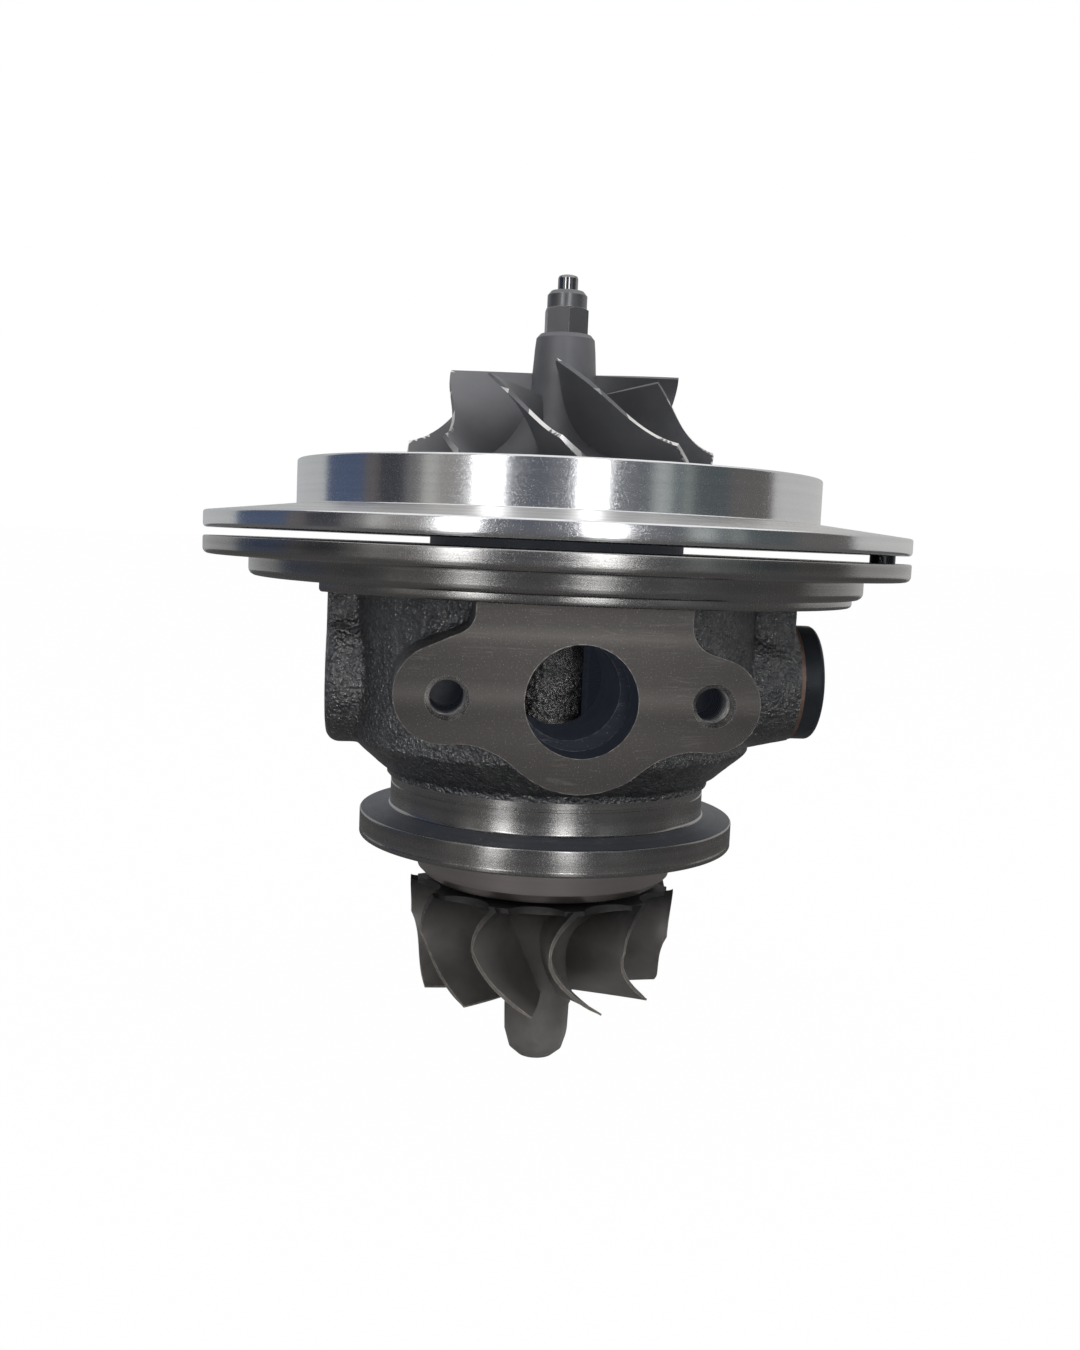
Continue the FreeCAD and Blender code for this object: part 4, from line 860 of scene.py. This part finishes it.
# %% Turned flange
STEP_LAP = 0.5
bm = bmesh.new()
spin_outline(bm, [
    (THRUST_R, SPIGOT_TOP), (SPIGOT_R, SPIGOT_TOP, 0.3), (SPIGOT_R, O_RING_GROOVE[0]),
    (O_RING_FLOOR, O_RING_GROOVE[0]), (O_RING_FLOOR, O_RING_GROOVE[1]), (SPIGOT_R, O_RING_GROOVE[1]),
    (SPIGOT_R, SLOT_BOTTOM), (DISC_R, SLOT_BOTTOM, 0.3), (DISC_R, FLANGE_BOTTOM, 0.9),
    (RING_R, FLANGE_BOTTOM, 0.3), (RING_R, RING_BOTTOM, 1.1), (FLANGE_CORE_R, RING_BOTTOM),
    (BORE_R, RING_BOTTOM), (BORE_R, WASHER_ROOM_FLOOR), (WASHER_ROOM_R, WASHER_ROOM_FLOOR),
    (WASHER_ROOM_R, THRUST_FLOOR), (THRUST_R, THRUST_FLOOR)], steps=288)
# Painted shade: the spigot faces down in the slot take the shaded iron.
for face in bm.faces:
    middle = face.calc_center_median()
    if middle.xy.length < SPIGOT_R + 0.5 and middle.z > FLANGE_BOTTOM:
        face.material_index = 1
flange = placed("housing_flange", bm, flange_iron)
flange.data.materials.append(shaded_iron)
pin_seat = Matrix.Translation(around(PIN_CIRCLE_R, PIN_ANGLE))
carve(flange, [cylinder_tool("pin hole", PIN_R, PIN_HOLE_END, 0, pin_seat, bore_iron_painted_shade)])
dress(flange, [], *HOUSING)

bm = bmesh.new()
spin_outline(bm, [(FLANGE_CORE_R, RING_BOTTOM + STEP_LAP), (PAD_RING_R, RING_BOTTOM + STEP_LAP),
                  (PAD_RING_R, PAD_RING_BOTTOM, 0.55), (FLANGE_CORE_R, PAD_RING_BOTTOM)],
             start=PAD_RING_ARC[0], sweep=PAD_RING_ARC[1])
dress(placed("housing_flange_step", bm, flange_iron), [], *HOUSING)

# %% Turned neck and V-band rim
bm = bmesh.new()
groove_foot = VBAND_BOTTOM + VBAND_GROOVE_UP
groove_top = groove_foot + VBAND_GROOVE_WIDE
groove_r = VBAND_R - VBAND_GROOVE_DEEP
line_r = NECK_R - NECK_LINE_DEEP
line = [NECK_TOP - down for down in NECK_LINE]
spin_outline(bm, [
    (BORE_R, NECK_TOP + 0.4), (NECK_R - 1, NECK_TOP + 0.4), (NECK_R, NECK_TOP + 0.1), (NECK_R, line[0]),
    (line_r, line[1]), (line_r, line[2]), (NECK_R, line[3]), (NECK_R, NECK_FOOT, 0.5),
    (VBAND_R, VBAND_TOP, 0.35), (VBAND_R, groove_top), (groove_r, groove_top), (groove_r, groove_foot),
    (VBAND_R, groove_foot), (VBAND_R, VBAND_BOTTOM, 0.3), (SEAL_BOSS_R, VBAND_BOTTOM, 0.4),
    (SEAL_BOSS_R, SEAL_BOSS_END, 0.3), (TURBINE_SEAL_R, SEAL_BOSS_END), (TURBINE_SEAL_R, SLING[1]),
    (SLING_R, SLING[1]), (SLING_R, SLING[0]), (BORE_R, SLING[0])], steps=256)
bmesh.ops.recalc_face_normals(bm, faces=bm.faces)
# Painted shade: the top face of the V-band rim takes the shaded iron.
for face in bm.faces:
    if face.normal.z > 0.9 and NECK_FOOT - 1.5 < face.calc_center_median().z < NECK_FOOT + 0.5:
        face.material_index = 1
dress(placed("housing_neck", bm, flange_iron), [shaded_iron], *HOUSING, angle=25.0)

# %% [markdown]
# The backplate, faced and turned bright all over. Its corners are broken with a fine radius.

# %% Backplate
SPIGOT_FIT = 0.06
SCREW_HOLE_FOOT = -3.0
SCREW_HOLE_TOP = 6.5
bm = bmesh.new()
spin_outline(bm, [
    (COMP_SEAL_R, WHEEL_RECESS_FLOOR), (WHEEL_RECESS_R, WHEEL_RECESS_FLOOR, 0.4),
    (WHEEL_RECESS_R, PILOT_TOP, 0.2), (PILOT_R, PILOT_TOP, 0.4), (PILOT_R, 0, 0.2),
    (DISC_R, RIM_TOP, 0.4), (DISC_R, DISC_BOTTOM, 0.6), (SPIGOT_R + SPIGOT_FIT, DISC_BOTTOM, 0.2),
    (SPIGOT_R + SPIGOT_FIT, SPIGOT_TOP), (WASHER_ROOM_R, SPIGOT_TOP), (WASHER_ROOM_R, FLINGER_TOP),
    (COMP_SEAL_R, FLINGER_TOP)], steps=360)
for face in bm.faces:
    middle = face.calc_center_median()
    if PILOT_R + 0.3 < middle.xy.length < DISC_R - 0.5 and RIM_TOP < middle.z < 0:
        face.material_index = 1
plate = placed("backplate_turned", bm, polished)
plate.data.materials.append(cut_aluminium)
head_floor = WHEEL_RECESS_FLOOR - SCREW_HEAD_DEPTH
screw_hole = [(0, SCREW_HOLE_FOOT), (SCREW_HOLE_R, SCREW_HOLE_FOOT), (SCREW_HOLE_R, head_floor),
              (SCREW_HEAD_R, head_floor), (SCREW_HEAD_R, SCREW_HOLE_TOP), (0, SCREW_HOLE_TOP)]
seats = [Matrix.Translation(around(SCREW_CIRCLE_R, turn)) for turn in (45, 135, 225, 315)]
carve(plate, [revolve_tool("screw hole", screw_hole, bore_iron_painted_shade, seat=seat) for seat in seats])
dress(plate, [], "housing", "backplate_aluminium", ["backplate"])

# %% [markdown]
# Wheels. The blades are the solid's own, welded into one smooth mesh. On the compressor wheel
# the faces along the outer line of the blades get a bright turned finish, because on the real
# wheel the as-cast skin is only cut there. The turbine wheel stays as cast all over.

# %% Wheels from the solids
WELD = 1e-6
EXDUCER_R = 25.5
BLADE_TOP = 23.3
SHROUD_R, SHROUD_Z = np.array([
    (19.0, BLADE_TOP), (19.1, 18.93), (20.3, 15.05), (22.58, 12.53), (EXDUCER_R, 11.2)]).T
CUT_WIDTH = 0.35
RIM_WIDTH = 0.1


def welded(name, source):
    """Merged copy of a CAD node in a mesh of its own, without the stored normals."""
    mesh = nodes[source].data.copy()
    mesh.transform(nodes[source].matrix_world)
    mesh.name = name
    mesh.materials.clear()
    bm = bmesh.new()
    bm.from_mesh(mesh)
    bmesh.ops.remove_doubles(bm, verts=bm.verts, dist=WELD)
    bm.to_mesh(mesh)
    bm.free()
    if mesh.has_custom_normals:
        mesh.attributes.remove(mesh.attributes["custom_normal"])
    piece = bpy.data.objects.new(name, mesh)
    scene.collection.objects.link(piece)
    return piece


wheel = welded("compressor_wheel_cast", "compressor_wheel")
centres = np.array([p.center for p in wheel.data.polygons]) / MM
r, z = np.hypot(centres[:, 0], centres[:, 1]), centres[:, 2]
by_height = np.abs(z - np.interp(r, SHROUD_R, SHROUD_Z)) < CUT_WIDTH
by_radius = np.abs(r - np.interp(-z, -SHROUD_Z, SHROUD_R)) < CUT_WIDTH
along_edge = by_height & by_radius & (z < BLADE_TOP - RIM_WIDTH)
for polygon, cut in zip(wheel.data.polygons, along_edge | (r > EXDUCER_R - RIM_WIDTH)):
    polygon.material_index = int(cut)
dress(wheel, [compressor_cast, cut_aluminium], "rotor", "compressor_aluminium", ["compressor_wheel"])
turbine = welded("turbine_wheel_cast", "turbine_wheel")
dress(turbine, [turbine_alloy], "rotor", "turbine_alloy", ["turbine_wheel"])

# %% [markdown]
# The plug in the second coolant port, its soft washer, the shield, nut and shaft stay as the
# solids are, welded for smooth shading.

# %% Small turned and pressed parts
for name, source, material, body, slot, corner in (
        ("coolant_plug_black", "coolant_plug", black_oxide, "housing", "plug_steel", SHARP_CORNER),
        ("coolant_plug_gasket", "coolant_plug_washer", copper, "housing", "washer_copper", SHARP_CORNER),
        ("heat_shield_pressed", "heat_shield", shield_steel, "housing", "shield_steel", SHARP_CORNER),
        ("compressor_nut_locked", "compressor_nut", nut_steel, "rotor", "nut_steel", 18.0),
        ("rotor_shaft_ground", "rotor_shaft", ground_steel, "rotor", "shaft_steel", 20.0)):
    dress(welded(name, source), [material], body, slot, [source], angle=corner)

# %% [markdown]
# Every CAD node gets a finish too, also those that a dressed piece above stands for.

# %% Finish of the CAD nodes
CAD_FINISH = (
    (cast_iron, ("bearing_housing",)),
    (polished, ("backplate",)),
    (rubber, ("backplate_o_ring",)),
    (black_oxide, ("locating_pin", "coolant_plug")),
    (copper, ("coolant_plug_washer",)),
    (shield_steel, ("oil_baffle", "heat_shield")),
    (dark_steel, ("backplate_screws", "compressor_seal_ring", "turbine_seal_ring", "compressor_bearing_clips",
                  "turbine_bearing_clips")),
    (bronze, ("thrust_bearing", "compressor_journal_bearing", "turbine_journal_bearing")),
    (ground_steel, ("thrust_bearing_pins", "rotor_shaft", "thrust_washer", "thrust_collar", "oil_flinger")),
    (turbine_alloy, ("turbine_wheel",)),
    (compressor_cast, ("compressor_wheel",)),
    (nut_steel, ("compressor_nut",)),
)
for material, names in CAD_FINISH:
    for name in names:
        nodes[name].data.materials.clear()
        nodes[name].data.materials.append(material)
print("finished", sum(len(names) for _, names in CAD_FINISH), "CAD nodes")

# %% [markdown]
# The studio: a pale floor under the turbine nose and a white surround, both white to the
# camera but dimmer as light on the object.

# %% Floor and surround
WHITE = (1, 1, 1, 1)
FLOOR_Z = -0.0945
FLOOR_HALF = 30.0
SURROUND_LIGHT = 0.42


def looked_at(tree):
    """Light path outputs, and 1 for what the camera sees straight or through glass."""
    path = node(tree, "LightPath").outputs
    return path, calc(tree, "MAXIMUM", path["Is Camera Ray"], path["Is Transmission Ray"])


def paper(name, colour, glow):
    """Matt stage paper; glow is how much of its look the camera sees as plain white light."""
    made, tree, shader = blank(name)
    shader.inputs["Base Color"].default_value = (*colour, 1)
    shader.inputs["Roughness"].default_value = 1.0
    shader.inputs["Specular IOR Level"].default_value = 0.0
    white = node(tree, "Emission", {"Color": WHITE, "Strength": 1.0}).outputs[0]
    share = times(tree, looked_at(tree)[1], glow)
    mixed = node(tree, "MixShader", {0: share, 1: shader.outputs[0], 2: white})
    tree.links.new(mixed.outputs[0], tree.nodes["Material Output"].inputs["Surface"])
    return made


def stage_mesh(name, faces, material):
    """Object from quads given in metres, for the floor and the cards."""
    bm = bmesh.new()
    for corners in faces:
        bm.faces.new([bm.verts.new(c) for c in corners])
    made = placed(name, bm, material, 1.0)
    return made


far = FLOOR_HALF
corners = [(-far, -far, FLOOR_Z), (far, -far, FLOOR_Z), (far, far, FLOOR_Z), (-far, far, FLOOR_Z)]
stage_mesh("floor", [corners], paper("pale floor", (0.86, 0.86, 0.86), glow=0.99))

world = bpy.data.worlds.new("studio")
world.use_nodes = True
scene.world = world
sky = world.node_tree
path, seen = looked_at(sky)
bright = calc(sky, "MAXIMUM", seen, path["Is Glossy Ray"])
strength = node(sky, "MapRange", {"Value": bright, "To Min": SURROUND_LIGHT, "To Max": 1.0}).outputs[0]
sky.nodes["Background"].inputs["Color"].default_value = WHITE
sky.links.new(strength, sky.nodes["Background"].inputs["Strength"])
print("floor at", FLOOR_Z, "m")

# %% [markdown]
# What the bright metal mirrors: a round of grey cards as tall as a room, each with its own
# shade, and before them two tall strips of light for the pair of bright bands on the turned
# rims. A dark mat lies under them. Only reflections see them, so they take no light from the
# object. Each card is given by two angles from the camera's own direction and its colour.

# %% Cards and strips
CARD_DISTANCE = 0.8
CARD_TOP = 0.75
MAT_Z = -0.09
MAT_HOLE = 0.01
STRIP_DISTANCE = 0.75
STRIP_TOP = 0.60
STRIP_ON_MAT = 0.13
STRIP_ON_MAT_START = 0.1
STRIP_ON_MAT_Z = MAT_Z + 0.001
CARD_STEP = 6
CARDS = (
    ("back left", -180, -150, (0.45, 0.46, 0.48)),
    ("light left", -150, -114, (0.47, 0.48, 0.48)),
    ("blue left", -114, -87, (0.075, 0.10, 0.165)),
    ("brown left", -87, -79, (0.125, 0.115, 0.11)),
    ("dark left", -79, -65, (0.048, 0.05, 0.06)),
    ("shade left", -65, -57, (0.16, 0.16, 0.16)),
    ("window left", -57, -50, (0.47, 0.465, 0.44)),
    ("wall left", -50, -39, (0.27, 0.26, 0.25)),
    ("bright left", -39, -33, (0.48, 0.475, 0.48)),
    ("front left", -33, -12, (0.13, 0.135, 0.155)),
    ("front middle", -12, -4, (0.10, 0.107, 0.13)),
    ("front", -4, 21, (0.145, 0.15, 0.17)),
    ("front right", 21, 32, (0.15, 0.155, 0.17)),
    ("dark right", 32, 38, (0.11, 0.12, 0.13)),
    ("door right", 38, 46, (0.40, 0.42, 0.41)),
    ("edge right", 46, 51.5, (0.12, 0.145, 0.15)),
    ("thin right", 51.5, 55.5, (0.25, 0.27, 0.255)),
    ("green right", 55.5, 74, (0.085, 0.098, 0.104)),
    ("brown right", 74, 99, (0.125, 0.117, 0.113)),
    ("back right", 99, 180, (0.54, 0.535, 0.525)),
)
STRIPS = (("left strip", -33, -23.2, 4.5), ("right strip", 8.3, 18.5, 4.5))


def polar(angle, distance, height):
    """Point round the rotor axis at an angle from the camera's own direction, in metres."""
    return around(distance, angle + CAMERA_TURN, height)


def card(name, start, end, low, high, colour, strength=1.0):
    """Curved card between two rims, each a distance and a height, that only reflections see."""
    made, tree, _ = blank(name)
    light = node(tree, "Emission", {"Color": (*colour, 1), "Strength": strength})
    tree.links.new(light.outputs[0], tree.nodes["Material Output"].inputs["Surface"])
    steps = max(2, int((end - start) / CARD_STEP))
    faces = []
    for i in range(steps):
        a = start + (end - start) * i / steps
        b = start + (end - start) * (i + 1) / steps
        faces.append([polar(a, *low), polar(b, *low), polar(b, *high), polar(a, *high)])
    piece = stage_mesh(name, faces, made)
    for ray in ("camera", "diffuse", "shadow", "transmission", "volume_scatter"):
        setattr(piece, "visible_" + ray, False)


for name, start, end, shade in CARDS:
    card(name, start, end, (CARD_DISTANCE, MAT_Z), (CARD_DISTANCE, CARD_TOP), shade)
for name, start, end, strength in STRIPS:
    card(name, start, end, (STRIP_DISTANCE, MAT_Z), (STRIP_DISTANCE, STRIP_TOP), WHITE[:3], strength)
    card(name + " on the mat", start, end, (STRIP_ON_MAT_START, STRIP_ON_MAT_Z),
         (STRIP_DISTANCE, STRIP_ON_MAT_Z), WHITE[:3], strength * STRIP_ON_MAT)
card("dark mat", -180, 180, (MAT_HOLE, MAT_Z), (CARD_DISTANCE, MAT_Z), (0.11, 0.108, 0.108))
print("cards:", len(CARDS), "strips:", len(STRIPS))

# %% [markdown]
# Three soft square lamps light the object; reflections don't see them.

# %% Lamps
LAMPS = (
    ("overhead", 10, 0.25, 0.85, 0.8, 3.4),
    ("left", -60, 0.8, 0.35, 0.5, 0.4),
    ("right", 60, 0.8, 0.35, 0.5, 1.9),
)
for name, angle, distance, height, size, power in LAMPS:
    light = bpy.data.lights.new(name, "AREA")
    light.shape = "RECTANGLE"
    light.size = light.size_y = size
    light.energy = power
    lamp = bpy.data.objects.new(name, light)
    scene.collection.objects.link(lamp)
    spot = polar(angle, distance, height)
    lamp.matrix_world = Matrix.Translation(spot) @ spot.to_track_quat("Z", "Y").to_matrix().to_4x4()
    lamp.visible_glossy = False
print("lamps:", len(LAMPS))
